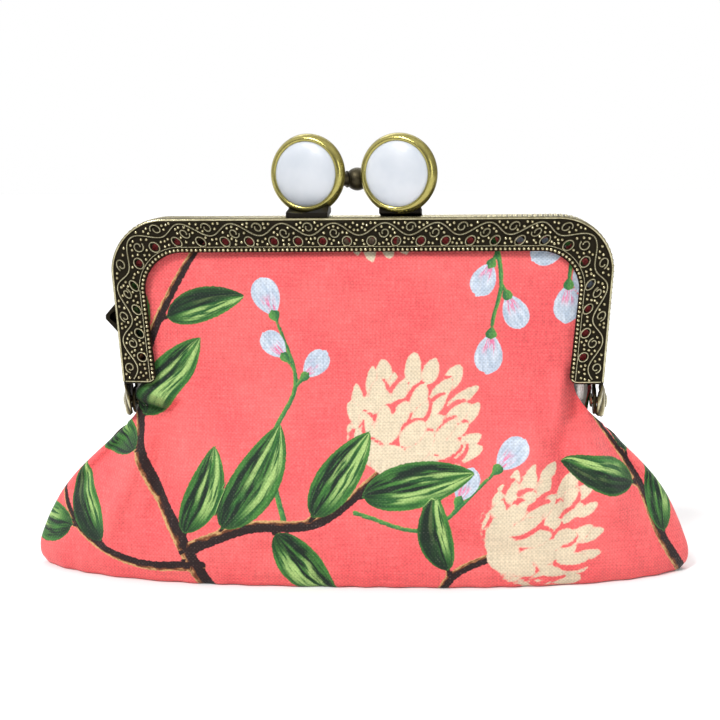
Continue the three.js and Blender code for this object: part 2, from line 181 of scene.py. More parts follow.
def make_object(name, vertices, faces, material):
    """A mesh object from points in millimetres."""
    mesh = bpy.data.meshes.new(name)
    mesh.from_pydata((np.asarray(vertices, float) * MM).tolist(), [], [tuple(map(int, f)) for f in faces])
    mesh.update()
    mesh.polygons.foreach_set("use_smooth", [True] * len(mesh.polygons))
    mesh.materials.append(material)
    piece = bpy.data.objects.new(name, mesh)
    bpy.context.scene.collection.objects.link(piece)
    return piece


def grid_faces(rows, columns, flip=False, loop_rows=False, loop_columns=False):
    """Quads of a grid whose points are listed row by row."""
    j, i = np.meshgrid(
        np.arange(rows - (not loop_rows)), np.arange(columns - (not loop_columns)), indexing="ij"
    )
    j, i = j.ravel(), i.ravel()
    jn, im = (j + 1) % rows, (i + 1) % columns
    quads = np.stack([j * columns + i, j * columns + im, jn * columns + im, jn * columns + i], 1)
    return quads[:, ::-1] if flip else quads


def set_attribute(piece, name, values, kind="FLOAT"):
    attribute = piece.data.attributes.new(name, kind, "POINT")
    field = {"FLOAT": "value", "FLOAT_VECTOR": "vector", "FLOAT_COLOR": "color"}[kind]
    attribute.data.foreach_set(field, np.asarray(values, np.float32).ravel())


class Pile:
    """Vertices and faces of many small solids that make up one mesh."""

    def __init__(self):
        self.vertices = []
        self.faces = []
        self.heights = []
        self.count = 0

    def add(self, vertices, faces, heights=None):
        self.vertices.append(np.asarray(vertices, float))
        self.faces.extend([tuple(int(v) + self.count for v in face) for face in faces])
        self.heights.append(np.ones(len(vertices)) if heights is None else np.asarray(heights, float))
        self.count += len(vertices)

    def build(self, name, material):
        piece = make_object(name, np.vstack(self.vertices), self.faces, material)
        # The brightness stored per point is wear and painted light: patina and painted shade where low, wear
        # and a painted highlight where high.
        set_attribute(piece, "wear_and_painted_light", np.concatenate(self.heights))
        return piece


def lathe(profile, segments):
    """Vertices and faces of a [radius, height] profile turned about Z. Points on the axis are shared."""
    vertices, rings, faces = [], [], []
    for radius, height in profile:
        if radius < 1e-6:
            rings.append([len(vertices)] * segments)
            vertices.append((0, 0, height))
        else:
            rings.append(list(range(len(vertices), len(vertices) + segments)))
            for k in range(segments):
                angle = 2 * math.pi * k / segments
                vertices.append((radius * math.cos(angle), radius * math.sin(angle), height))
    for low, high in zip(rings, rings[1:]):
        for k in range(segments):
            n = (k + 1) % segments
            face = list(dict.fromkeys([low[k], low[n], high[n], high[k]]))
            if len(face) > 2:
                faces.append(face)
    return np.array(vertices), faces


def placed(vertices, axis, origin):
    """Points turned so that their Z lies along axis, and moved to origin."""
    turn = np.array(Vector((0, 0, 1)).rotation_difference(Vector(axis)).to_matrix())
    return vertices @ turn.T + np.array(origin)


def half_turn(points):
    """The same points on the other half of the purse."""
    return np.asarray(points) * np.array([-1, -1, 1])


# ---------------------------------------------------------------- shader helpers
class Nodes:
    """Short names for the nodes of one material."""

    def __init__(self, name):
        self.material = bpy.data.materials.new(name)
        self.material.use_nodes = True
        self.tree = self.material.node_tree
        self.shader = self.tree.nodes["Principled BSDF"]

    def node(self, kind, inputs=(), **settings):
        made = self.tree.nodes.new(kind)
        for key, value in settings.items():
            setattr(made, key, value)
        for key, value in dict(inputs).items():
            self.plug(made.inputs[key], value)
        return made

    def plug(self, socket, value):
        if isinstance(value, bpy.types.NodeSocket):
            self.tree.links.new(value, socket)
        else:
            socket.default_value = value

    def math(self, operation, a, b=0.0, c=0.0):
        return self.node("ShaderNodeMath", {0: a, 1: b, 2: c}, operation=operation).outputs[0]

    def ramp(self, value, low, high, start=0.0, end=1.0):
        """Rises smoothly from start to end as value goes from low to high."""
        ranged = self.node(
            "ShaderNodeMapRange",
            {"Value": value, "From Min": low, "From Max": high, "To Min": start, "To Max": end},
            interpolation_type="SMOOTHSTEP",
        )
        return ranged.outputs["Result"]

    def mix(self, factor, a, b, blend="MIX"):
        made = self.node("ShaderNodeMix", {0: factor}, data_type="RGBA", blend_type=blend)
        self.plug(made.inputs[6], a)
        self.plug(made.inputs[7], b)
        return made.outputs[2]

    def field(self, name):
        """An attribute's three numbers and its alpha."""
        read = self.node("ShaderNodeAttribute", attribute_name=name)
        parts = self.node("ShaderNodeSeparateXYZ", {0: read.outputs["Vector"]})
        return [*parts.outputs, read.outputs["Alpha"]]

    def value(self, name):
        return self.node("ShaderNodeAttribute", attribute_name=name).outputs["Fac"]

    def vector(self, x, y, z=0.0):
        return self.node("ShaderNodeCombineXYZ", {0: x, 1: y, 2: z}).outputs[0]

    def stretched(self, x, x_scale, y, y_scale, z):
        return self.vector(self.math("MULTIPLY", x, x_scale), self.math("MULTIPLY", y, y_scale), z)

    def noise(self, vector, scale, detail=2.0, roughness=0.5):
        inputs = {"Vector": vector, "Scale": scale, "Detail": detail, "Roughness": roughness}
        return self.node("ShaderNodeTexNoise", inputs).outputs["Fac"]

    def place(self):
        """The object's own coordinates, in millimetres."""
        coordinates = self.node("ShaderNodeTexCoord").outputs["Object"]
        return self.node("ShaderNodeVectorMath", {0: coordinates, 3: 1 / MM}, operation="SCALE").outputs[0]

    def bump(self, height, distance, strength=1.0):
        inputs = {"Height": height, "Distance": distance * MM, "Strength": strength}
        return self.node("ShaderNodeBump", inputs).outputs["Normal"]

    def finish(self, **sockets):
        for key, value in sockets.items():
            self.plug(self.shader.inputs[key.replace("_", " ")], value)
        return self.material


def rgb(red, green, blue):
    """A colour given as 0 to 255 screen values, as the linear RGBA that shaders use."""
    screen = np.array([red, green, blue]) / 255
    linear = np.where(screen <= 0.04045, screen / 12.92, ((screen + 0.055) / 1.055) ** 2.4)
    return (*(linear * PAINT_LEVEL).tolist(), 1)


# ---------------------------------------------------------------- the stage
def aim(thing, location, target, roll=0.0):
    """Puts a camera or a light at location, in millimetres, facing target."""
    back = Vector(location) - Vector(target)
    turn = back.to_track_quat("Z", "Y").to_matrix().to_4x4()
    thing.matrix_world = (
        Matrix.Translation(Vector(location) * MM) @ turn @ Matrix.Rotation(math.radians(roll), 4, "Z")
    )


def make_camera():
    azimuth, elevation = math.radians(CAMERA_AZIMUTH), math.radians(CAMERA_ELEVATION)
    level = math.cos(elevation)
    back = Vector((math.sin(azimuth) * level, -math.cos(azimuth) * level, math.sin(elevation)))
    camera = bpy.data.objects.new("camera", bpy.data.cameras.new("camera"))
    camera.data.lens = CAMERA_LENS
    camera.data.sensor_width = 36
    camera.data.clip_start = 0.01
    bpy.context.scene.collection.objects.link(camera)
    aim(camera, Vector(CAMERA_TARGET) + back * CAMERA_DISTANCE, CAMERA_TARGET, CAMERA_ROLL)
    bpy.context.scene.camera = camera


def make_light(name, location, target, size, power):
    light = bpy.data.objects.new(name, bpy.data.lights.new(name, "AREA"))
    light.data.shape = "RECTANGLE"
    light.data.size = size[0] * MM
    light.data.size_y = size[1] * MM
    light.data.energy = power
    bpy.context.scene.collection.objects.link(light)
    aim(light, location, target)


def make_stage():
    scene = bpy.context.scene
    scene.view_settings.view_transform = "Standard"
    world = bpy.data.worlds.new("studio")
    world.use_nodes = True
    tree = world.node_tree
    background = tree.nodes["Background"]
    background.inputs["Color"].default_value = (1, 1, 1, 1)
    towards = tree.nodes.new("ShaderNodeVectorMath")
    towards.operation = "DOT_PRODUCT"
    towards.inputs[1].default_value = BRIGHT_SIDE
    tree.links.new(tree.nodes.new("ShaderNodeTexCoord").outputs["Generated"], towards.inputs[0])
    lighting = tree.nodes.new("ShaderNodeMapRange")
    lighting.interpolation_type = "SMOOTHSTEP"
    tree.links.new(towards.outputs["Value"], lighting.inputs["Value"])
    for socket, value in zip(("From Min", "From Max", "To Min", "To Max"), (-0.5, 0.6, *DAYLIGHT)):
        lighting.inputs[socket].default_value = value
    strength = tree.nodes.new("ShaderNodeMix")
    tree.links.new(tree.nodes.new("ShaderNodeLightPath").outputs["Is Camera Ray"], strength.inputs[0])
    tree.links.new(lighting.outputs["Result"], strength.inputs[2])
    strength.inputs[3].default_value = BACKDROP
    tree.links.new(strength.outputs[0], background.inputs["Strength"])
    scene.world = world
    sun = bpy.data.objects.new("sun", bpy.data.lights.new("sun", "SUN"))
    sun.data.energy = SUN_ENERGY
    sun.data.angle = math.radians(SUN_SPREAD)
    scene.collection.objects.link(sun)
    aim(sun, SUN_FROM, (0, 0, 0))
    for light in LIGHTS:
        make_light(*light)
    paper = Nodes("paper").finish(Base_Color=(0.85, 0.85, 0.85, 1), Roughness=0.9)
    corners = [(x * FLOOR_SPAN, y * FLOOR_SPAN, 0) for x, y in ((-1, -1), (1, -1), (1, 1), (-1, 1))]
    floor = make_object("floor", corners, [(0, 1, 2, 3)], paper)


# ---------------------------------------------------------------- metal, stone and cloth materials
# Colour in the recesses (patina, with painted shade), between them, and where the metal is rubbed bright
# (wear, with a painted highlight), and how rough it is there.
METALS = {
    "antique_brass": (rgb(40, 35, 25), rgb(128, 117, 80), rgb(240, 233, 194), 0.18),
    "polished_brass": (rgb(58, 52, 30), rgb(128, 118, 56), rgb(188, 178, 104), 0.2),
    "dark_bronze": (rgb(38, 34, 28), rgb(92, 84, 62), rgb(222, 213, 166), 0.2),
}


def make_brass(name, dark, middle, bright, rubbed):
    """Aged brass: dark patina and painted shade in the recesses, rubbed bright with wear and a painted
    highlight where the attribute of wear and painted light is high.
    """
    m = Nodes(name)
    place = m.place()
    mottle = m.noise(place, 0.8, detail=4, roughness=0.65)
    grain = m.noise(place, 5.0, detail=2)
    # Brightness per point: wear and painted light from the attribute, with a random mottle of the metal's
    # own.
    wear_and_painted_light = m.math("ADD", m.value("wear_and_painted_light"), m.math("MULTIPLY_ADD", mottle, 0.5, -0.25))
    color = m.mix(m.ramp(wear_and_painted_light, 0.05, 0.5), dark, middle)
    color = m.mix(m.ramp(wear_and_painted_light, 0.5, 1.0), color, bright)
    unevenness = m.math("MULTIPLY_ADD", grain, 0.16, -0.08)
    roughness = m.math("ADD", m.ramp(wear_and_painted_light, 0.1, 0.9, 0.55, rubbed), unevenness)
    return m.finish(
        Base_Color=color, Metallic=0.9, Roughness=roughness, Normal=m.bump(grain, 0.03, 0.5)
    )


def make_cabochon():
    m = Nodes("cabochon")
    cloud = m.noise(m.place(), 0.12, detail=3)
    color = m.mix(m.ramp(cloud, 0.3, 0.7), rgb(204, 210, 218), rgb(216, 220, 226))
    return m.finish(
        Base_Color=color, Roughness=0.35, Subsurface_Weight=0.4,
        Subsurface_Radius=(0.003, 0.003, 0.0035), Coat_Weight=0.2, Coat_Roughness=0.12,
    )


def make_fleece():
    m = Nodes("fleece")
    fibre = m.noise(m.place(), 2.5, detail=5, roughness=0.7)
    color = m.mix(fibre, rgb(232, 228, 218), rgb(250, 248, 243))
    return m.finish(Base_Color=color, Roughness=0.98, Normal=m.bump(fibre, 0.2))


def make_paper_cord():
    m = Nodes("paper_cord")
    twist = m.noise(m.place(), 1.6, detail=3)
    color = m.mix(twist, rgb(170, 140, 95), rgb(214, 184, 136))
    return m.finish(Base_Color=color, Roughness=0.95, Normal=m.bump(twist, 0.15))


def weave_height(m, across, down):
    """Threads of a plain weave, over and under, from places in millimetres on the flat cloth."""
    turn = math.pi / THREAD_PITCH
    warp = m.math("SINE", m.math("MULTIPLY", across, turn))
    weft = m.math("SINE", m.math("MULTIPLY", down, turn))
    return m.math("MULTIPLY_ADD", m.math("MULTIPLY", warp, weft), 0.5, 0.5)


def slubs(m, across, down):
    """Thicker and thinner threads, in both directions."""
    warp_place = m.vector(m.math("MULTIPLY", across, 2.6), m.math("MULTIPLY", down, 0.22))
    weft_place = m.vector(m.math("MULTIPLY", across, 0.16), m.math("MULTIPLY", down, 2.6), 7.0)
    warp = m.noise(warp_place, 1.0, detail=1)
    weft = m.noise(weft_place, 1.0, detail=1)
    return m.math("MULTIPLY", m.math("ADD", warp, weft), 0.5)


def make_lining_cotton():
    m = Nodes("lining_cotton")
    across, down, *_ = m.field("flat_place")
    weave = weave_height(m, across, down)
    slub = slubs(m, across, down)
    color = m.mix(m.ramp(slub, 0.3, 0.7), rgb(244, 240, 236), rgb(255, 252, 248))
    color = m.mix(m.math("MULTIPLY", weave, 0.12), color, rgb(205, 190, 165))
    return m.finish(Base_Color=color, Roughness=0.9, Normal=m.bump(m.math("ADD", weave, slub), 0.12, 0.6))


# ---------------------------------------------------------------- the frame's outline
def corner_radius(inset):
    return CORNER_OUTER - (CORNER_OUTER - CORNER_INNER) * inset / BAND


MIDDLE_RADIUS = corner_radius(BAND / 2)
TOP_LENGTH = FRAME_HALF_WIDTH - BAND / 2 - MIDDLE_RADIUS
ARC_LENGTH = math.pi / 2 * MIDDLE_RADIUS
LEG_LENGTH = FRAME_TOP - BAND / 2 - MIDDLE_RADIUS - LEG_END
BAND_LENGTH = TOP_LENGTH + ARC_LENGTH + LEG_LENGTH  # from the middle of the top to a leg's end


def band(along, inset):
    """X and Z on the plate: along the band from the middle of the top, and in from its outer edge."""
    along, inset = np.broadcast_arrays(np.asarray(along, float), np.asarray(inset, float))
    radius = corner_radius(inset)
    walked = np.abs(along)
    corner_x = FRAME_HALF_WIDTH - inset - radius
    corner_z = FRAME_TOP - inset - radius
    angle = math.pi / 2 * (1 - np.clip((walked - TOP_LENGTH) / ARC_LENGTH, 0, 1))
    down = np.clip((walked - TOP_LENGTH - ARC_LENGTH) / LEG_LENGTH, 0, 1)
    x = corner_x * np.clip(walked / TOP_LENGTH, 0, 1) + radius * np.cos(angle) - LEG_TAPER * down
    z = corner_z + radius * np.sin(angle) + (rounded_foot(inset) - corner_z) * down
    return np.sign(along) * x, z


def rounded_foot(inset):
    """Height of a leg's lower edge, which is rounded off at its inner corner."""
    past = np.clip(inset - (BAND - FOOT_ROUND), 0, FOOT_ROUND)
    return LEG_END + FOOT_ROUND - np.sqrt(FOOT_ROUND**2 - past**2)


def hole_places():
    """Band places of the holes, on the right side."""
    return [(k + 0.5) * HOLE_STEP for k in range(HOLE_COUNT)]


# ---------------------------------------------------------------- the frame halves, made as the front one
# A half's section: inset from the outline, and Y.
FRAME_SECTION = [
    (8.4, -5.9), (8.4, -6.4), (8.33, -6.54), (8.2, -6.6), (7.8, -6.6), (7.3, -6.6), (6.8, -6.6), (6.4, -6.6),
    (5.2, -6.6), (4, -6.6), (2.6, -6.6), (1.3, -6.6), (0.85, -6.58), (0.45, -6.45), (0.15, -6.15), (0, -5.75),
    (0, -4.4), (0, -3), (0, -1.6), (0, -0.35), (0.1, -0.2), (0.6, -0.2), (0.7, -0.35), (0.7, -1.8), (5, -1.8),
    (5, -2.5), (0.7, -2.5), (0.7, -5.9), (2.6, -5.9), (4, -5.9), (5.2, -5.9), (6.4, -5.9), (6.8, -5.9),
    (7.3, -5.9), (7.8, -5.9), (8.2, -5.9),
]
WALL_DEPTH = 5.5


def frame_shell(name, material):
    """The U-shaped pressed half with its holes, without the ears and the relief."""
    along = np.linspace(-BAND_LENGTH, BAND_LENGTH, 221)
    section = np.array(FRAME_SECTION)
    x, z = band(along[:, None], section[None, :, 0])
    y = np.broadcast_to(section[:, 1], x.shape)
    count = len(section)
    points = np.stack([x, y, z], 2).reshape(-1, 3)
    faces = [tuple(f) for f in grid_faces(len(along), count, loop_columns=True)]
    faces.append(tuple(range(count)))
    faces.append(tuple(reversed(range((len(along) - 1) * count, len(along) * count))))
    shell = make_object(name, points, faces, material)
    cutters = Pile()
    for place in hole_places():
        for side in (-1, 1):
            x, z = band(side * place, HOLE_INSET)
            rod, rod_faces = lathe([(0, 0), (HOLE_RADIUS, 0), (HOLE_RADIUS, 2), (0, 2)], 28)
            cutters.add(placed(rod, (0, 1, 0), (x, -FRAME_FRONT - 0.6, z)), rod_faces)
    cutter = cutters.build(name + "_holes", material)
    tidy_normals(shell)
    tidy_normals(cutter)
    cut = shell.modifiers.new("holes", "BOOLEAN")
    cut.object = cutter
    cut.solver = "EXACT"
    apply_modifiers(shell)
    bpy.data.objects.remove(cutter)
    shell.data.set_sharp_from_angle(angle=math.radians(38))
    # Painted light on the pressed half: its front face between the relief is dark with patina and painted
    # shade; the rest is bright, the outer wall as if lit from above, with a painted highlight along the
    # rounded edges next to the face.
    depth = -positions(shell)[:, 1]
    crown = np.exp(-(((depth - FRAME_FRONT + 0.3) / 0.35) ** 2))
    set_attribute(shell, "wear_and_painted_light", np.where(depth > FRAME_FRONT - 0.04, 0.02, 0.72 + 0.28 * crown))
    return shell


def positions(piece):
    """The points of a piece, in millimetres."""
    found = np.empty(len(piece.data.vertices) * 3)
    piece.data.vertices.foreach_get("co", found)
    return found.reshape(-1, 3) / MM


def tidy_normals(piece):
    work = bmesh.new()
    work.from_mesh(piece.data)
    bmesh.ops.recalc_face_normals(work, faces=work.faces)
    work.to_mesh(piece.data)
    work.free()


def apply_modifiers(piece):
    graph = bpy.context.evaluated_depsgraph_get()
    mesh = bpy.data.meshes.new_from_object(piece.evaluated_get(graph))
    piece.modifiers.clear()
    old = piece.data
    piece.data = mesh
    bpy.data.meshes.remove(old)


# ---------------------------------------------------------------- the embossing
VINE_INSET = 2.75
VINE_SWING = 1.5
SCROLL_RADIUS = 1.3
WIRE_WIDTH = 0.5
WIRE_HEIGHT = 0.5


def ring(along, inset, radius):
    angles = np.radians(np.linspace(0, 360, 21))
    return np.stack([along + radius * np.cos(angles), inset - radius * np.sin(angles)], 1)


def scroll(along, inset, radius, start, turn):
    """Band places along a small scroll that curls in on itself."""
    angles = np.radians(np.linspace(start, start + turn, 14))
    radii = radius * np.linspace(1, 0.4, 14)
    return np.stack([along + radii * np.cos(angles), inset - radii * np.sin(angles)], 1)


def wire_lines():
    """The raised lines on one side of the plate: a vine over the holes, with scrolls in its bays."""
    along = np.arange(0, BAND_LENGTH - 0.8, 0.8)
    vine = VINE_INSET + VINE_SWING * np.cos(math.pi * along / HOLE_STEP)
    lines = [np.stack([along, vine], 1)]
    for k, place in enumerate(hole_places()):
        lines.append(ring(place, HOLE_INSET, HOLE_RADIUS + 0.32))
        bay = place + HOLE_STEP / 2
        if bay + SCROLL_RADIUS < BAND_LENGTH:
            high = k % 2 == 1
            lines.append(scroll(bay, 2.3 if high else 3.6, SCROLL_RADIUS, 0 if high else 180, 400))
    return lines


def wire(pile, places, width=WIRE_WIDTH, height=WIRE_HEIGHT):
    """Adds a rounded wire that lies on the plate along band places."""
    line = curve_through(places, 0.4)
    x, z = band(line[:, 0], line[:, 1])
    tangent = np.gradient(np.stack([x, z], 1), axis=0)
    tangent /= np.linalg.norm(tangent, axis=1)[:, None] + 1e-9
    side = np.stack([-tangent[:, 1], tangent[:, 0]], 1)
    angles = np.radians([0, 36, 72, 108, 144, 180])
    across = np.append(np.cos(angles), [-0.6, 0.6]) * width / 2
    up = np.append(np.sin(angles), [-0.3, -0.3]) * height
    points = np.stack(
        [
            x[:, None] + side[:, :1] * across,
            np.broadcast_to(-FRAME_FRONT + 0.04 - up, (len(x), len(up))),
            z[:, None] + side[:, 1:] * across,
        ],
        2,
    )
    count = len(up)
    faces = [tuple(f) for f in grid_faces(len(line), count, loop_columns=True)]
    faces += [tuple(range(count)), tuple(reversed(range((len(line) - 1) * count, len(line) * count)))]
    # Brighter towards the wire's top: wear and a painted highlight on its crest.
    heights = np.tile(np.clip(up / height, 0, 1) * 0.75 + 0.1, len(line))
    pile.add(points.reshape(-1, 3), faces, heights)


BEAD_PROFILE = [(1, -0.12), (0.96, 0.3), (0.74, 0.66), (0.4, 0.92), (0, 1)]
BEAD_SIDES = 9
BEAD_TRIES = 7000  # places that are tried on each side
WIRE_GAP = 0.74  # least distance from a bead to a wire's middle line
HOLE_GAP = 0.9  # and to a hole's edge


def bead(pile, origin, axis, radius, height, foot=0.0):
    """Adds a bead, as bright at its foot as foot says, and brighter towards its top with wear and a painted
    highlight.
    """
    vertices, faces = lathe([(radius * r, height * h) for r, h in BEAD_PROFILE], BEAD_SIDES)
    underside = tuple(reversed(range(BEAD_SIDES)))
    heights = foot + (0.9 - foot) * np.clip(vertices[:, 2] / height, 0, 1) ** 2
    pile.add(placed(vertices, axis, origin), [*faces, underside], heights)


def plate_bead(pile, along, inset, radius, height):
    x, z = band(along, inset)
    bead(pile, (float(x), -FRAME_FRONT + 0.02, float(z)), (0, -1, 0), radius, height)


def scattered_beads(lines, seed):
    """Band places of the beads that fill the ground between the wires."""
    rng = np.random.default_rng(seed)
    wires = np.vstack([curve_through(line, 0.5) for line in lines])
    holes = np.array([(place, HOLE_INSET) for place in hole_places()])
    kept = np.zeros((0, 2))
    for _ in range(BEAD_TRIES):
        spot = np.array([rng.uniform(0.3, BAND_LENGTH - 0.9), rng.uniform(1.1, 6.5)])
        if np.hypot(*(wires - spot).T).min() < WIRE_GAP:
            continue
        if np.hypot(*(holes - spot).T).min() < HOLE_RADIUS + HOLE_GAP:
            continue
        if len(kept) and np.hypot(*(kept - spot).T).min() < BEAD_PITCH:
            continue
        kept = np.vstack([kept, spot])
    return kept


def frame_relief(name, material):
    """Everything raised on a half: rims, rows of beads, wires and the field of beads."""
    pile = Pile()
    lines = wire_lines()
    for side in (-1, 1):
        flip = np.array([side, 1])
        for line in lines:
            wire(pile, line * flip)
        for along, inset in scattered_beads(lines, 11 + side) * flip:
            plate_bead(pile, along, inset, BEAD_RADIUS, 0.42)
    whole = np.linspace(-BAND_LENGTH + 0.5, BAND_LENGTH - 0.5, 150)
    for inset, width, height in ((0.3, 0.6, 0.3), (7.06, 0.3, 0.2)):
        wire(pile, np.stack([whole, np.full(150, inset)], 1), width, height)
    for along in np.arange(-BAND_LENGTH + 1.2, BAND_LENGTH - 1.2, ROW_PITCH):
        plate_bead(pile, along, 7.82, 0.5, 0.5)
    for side in (-1, 1):
        wire(pile, [(side * (BAND_LENGTH - 0.55), inset) for inset in np.linspace(0.8, 8, 12)])
    add_wall_beads(pile)
    return pile.build(name, material)


def add_wall_beads(pile):
    """Rows of beads round the outer wall."""
    for row, depth in enumerate(np.linspace(1.1, WALL_DEPTH - 0.3, 4)):
        for along in np.arange(-BAND_LENGTH + 1.5 + 0.7 * (row % 2), BAND_LENGTH - 1.2, ROW_PITCH):
            x, z = band(along, 0)
            xi, zi = band(along, 0.5)
            out = np.array([x - xi, 0, z - zi])
            # With foot 0.6 these beads are bright from foot to top: painted light on the wall, as if lit from
            # above.
            bead(pile, (float(x), -depth, float(z)), out / np.linalg.norm(out), 0.5, 0.17, foot=0.6)


# ---------------------------------------------------------------- ears and rivets
# The outline of a front ear, in Y and Z.
SHELL_OUTLINE = [
    (-6.2, 50.2), (-6.1, 47), (-5.8, 44), (-5.1, 41.6), (-3.7, 40), (-2, 39.9), (-0.8, 39.3), (0.8, 39.5),
    (1.8, 40.2), (3.2, 41.2), (3.9, 43.2), (3.5, 45.4), (2.2, 47.2), (0, 47.9), (-0.5, 50.2),
]


def shell_face(y, z):
    """How far out the middle of a front ear's sheet stands. Its front edge curls in below the leg."""
    crown = np.clip(1 - (y**2 + (z - HINGE_Z) ** 2) / 25, 0, 1)
    lean = np.clip((LEG_END - z) / 9, 0, 1) * np.clip(-y / 6, 0, 1) ** 2.4
    return SHELL_EAR_X + SHELL_CROWN * crown - SHELL_LEAN * lean - SHEET / 2


def shell_ear(pile, side):
    """A fluted, domed ear that hangs from the front half's wall over the rivet."""
    closed = [*SHELL_OUTLINE, SHELL_OUTLINE[0]]
    edge = curve_through(closed, 0.5)[:-1]
    angle = np.arctan2(edge[:, 1] - HINGE_Z, edge[:, 0])
    shares = np.array([0, 0.04, 0.12, 0.25, 0.4, 0.55, 0.7, 0.82, 0.92, 0.98, 1])
    thick = np.array([0.2, 0.5, 0.5, 0.5, 0.5, 0.5, 0.5, 0.5, 0.5, 0.42, 0.2]) * SHEET
    rings, heights = [], []
    for sign, order in ((1, range(len(shares))), (-1, reversed(range(len(shares))))):
        for k in order:
            y = EAR_HOLE * np.cos(angle) * (1 - shares[k]) + edge[:, 0] * shares[k]
            z = (HINGE_Z + EAR_HOLE * np.sin(angle)) * (1 - shares[k]) + edge[:, 1] * shares[k]
            fan = (y + 2.4) / (1.6 + 4.4 * np.clip((50 - z) / 10, 0, 1))
            ribs = np.abs(np.sin(1.5 * np.pi * (fan + 1))) * np.clip((49 - z) / 3, 0, 1)
            rings.append(np.stack([side * (shell_face(y, z) + sign * thick[k] + 0.5 * ribs), y, z], 1))
            # The ribs' crests on the outer face get wear and a painted highlight; the rest of the ear stays
            # dark.
            heights.append(0.05 + 0.75 * ribs if sign > 0 else np.full(len(y), 0.05))
    count = len(edge)
    faces = grid_faces(len(rings), count, flip=side > 0, loop_rows=True, loop_columns=True)
    pile.add(np.vstack(rings), [tuple(f) for f in faces], np.concatenate(heights))


def eye_ear(pile, side):
    """A flat eye inside the front half's ear, with a neck up to the back half's wall."""
    turn = np.radians(np.arange(-65, 205, 15))
    rounded = [(EYE_RADIUS * math.sin(a), HINGE_Z - EYE_RADIUS * math.cos(a)) for a in turn]
    around = [(-5.4, 53.5), (-5.4, 48.6), *rounded, (-0.7, HINGE_Z + 4.2), (-0.7, 53.5)]
    edge = np.array(around)
    angle = np.arctan2(edge[:, 1] - HINGE_Z, edge[:, 0])
    hole = np.stack([EAR_HOLE * np.cos(angle), HINGE_Z + EAR_HOLE * np.sin(angle)], 1)
    middle = EYE_EAR_X - SHEET / 2
    rings = []
    for flat, half in ((hole, 0.5), (edge * 0.96 + hole * 0.04, 0.5), (edge, 0.3), (edge, -0.3),
                       (edge * 0.96 + hole * 0.04, -0.5), (hole, -0.5)):
        x = np.full(len(flat), side * (middle + half * SHEET))
        rings.append(np.column_stack([x, flat]))
    faces = grid_faces(len(rings), len(edge), flip=side > 0, loop_rows=True, loop_columns=True)
    pile.add(np.vstack(rings), [tuple(f) for f in faces], np.full(len(edge) * len(rings), 0.2))
    step, step_faces = lathe([(0, 0), (1.6, 0), (1.9, 0.3), (1.9, 1.4), (0, 1.4)], 4)
    step_place = (side * (EYE_EAR_X - 0.1), -3.1, 51.8)
    pile.add(placed(step, (side, 0, 0), step_place), step_faces, np.full(len(step), 0.2))


def make_rivet(side, material):
    """A rivet through the ears of one side, with a domed head outside and a clinched tail inside."""
    out = SHELL_EAR_X + SHELL_CROWN + PLAY
    inward = EYE_EAR_X - SHEET - PLAY
    profile = [
        (0, inward - 0.5), (1.3, inward - 0.5), (1.6, inward - 0.4), (1.75, inward - 0.1), (1.7, inward),
        (RIVET_RADIUS, inward), (RIVET_RADIUS, out), (1.7, out), (1.8, out + 0.08), (1.65, out + 0.25),
        (1.2, out + 0.4), (0.6, out + 0.48), (0, out + 0.5),
    ]
    vertices, faces = lathe(profile, 40)
    pile = Pile()
    outward = (-1 if side == "left" else 1, 0, 0)
    pile.add(placed(vertices, outward, (0, 0, HINGE_Z)), faces, np.full(len(vertices), 0.75))
    rivet = pile.build(side + "_rivet_smooth", material)
    rivet.data.set_sharp_from_angle(angle=math.radians(50))
    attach(rivet, "pouch")
    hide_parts(side + "_hinge_rivet")


def make_frame_half(prefix, brass):
    """The pressed half, its relief and its ears, on the front or the back."""
    body = prefix + "_half"
    shell = frame_shell(prefix + "_frame_shell", brass)
    relief = frame_relief(prefix + "_frame_relief", brass)
    pile = Pile()
    for side in (-1, 1):
        (shell_ear if prefix == "front" else eye_ear)(pile, side)
    ears = pile.build(prefix + "_frame_ears", brass)
    for piece in (shell, relief, ears):
        if prefix == "back":
            piece.data.transform(Matrix.Rotation(math.pi, 4, "Z"))
        piece.data.set_sharp_from_angle(angle=math.radians(42))
        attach(piece, body)
    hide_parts(prefix + "_frame")


# ---------------------------------------------------------------- the heads
# A cup's section: radius, and height above its back.
CUP_PROFILE = [
    (0, 0), (6, 0), (6.8, 0.1), (7.6, 0.4), (8.5, 0.95), (9.2, 1.5), (9.75, 2.15), (10.05, 2.8), (10.06, 3.3),
    (9.9, 3.8), (9.62, 4.3), (9.4, 4.6), (9.15, 4.85), (8.85, 4.99), (8.5, 5), (8.25, 4.9), (8.14, 4.72),
    (8.4, 4.4), (8.4, 1.6), (0, 1.6),
]


def head_axis():
    return Vector((-math.sin(math.radians(HEAD_YAW)), -math.cos(math.radians(HEAD_YAW)), 0))


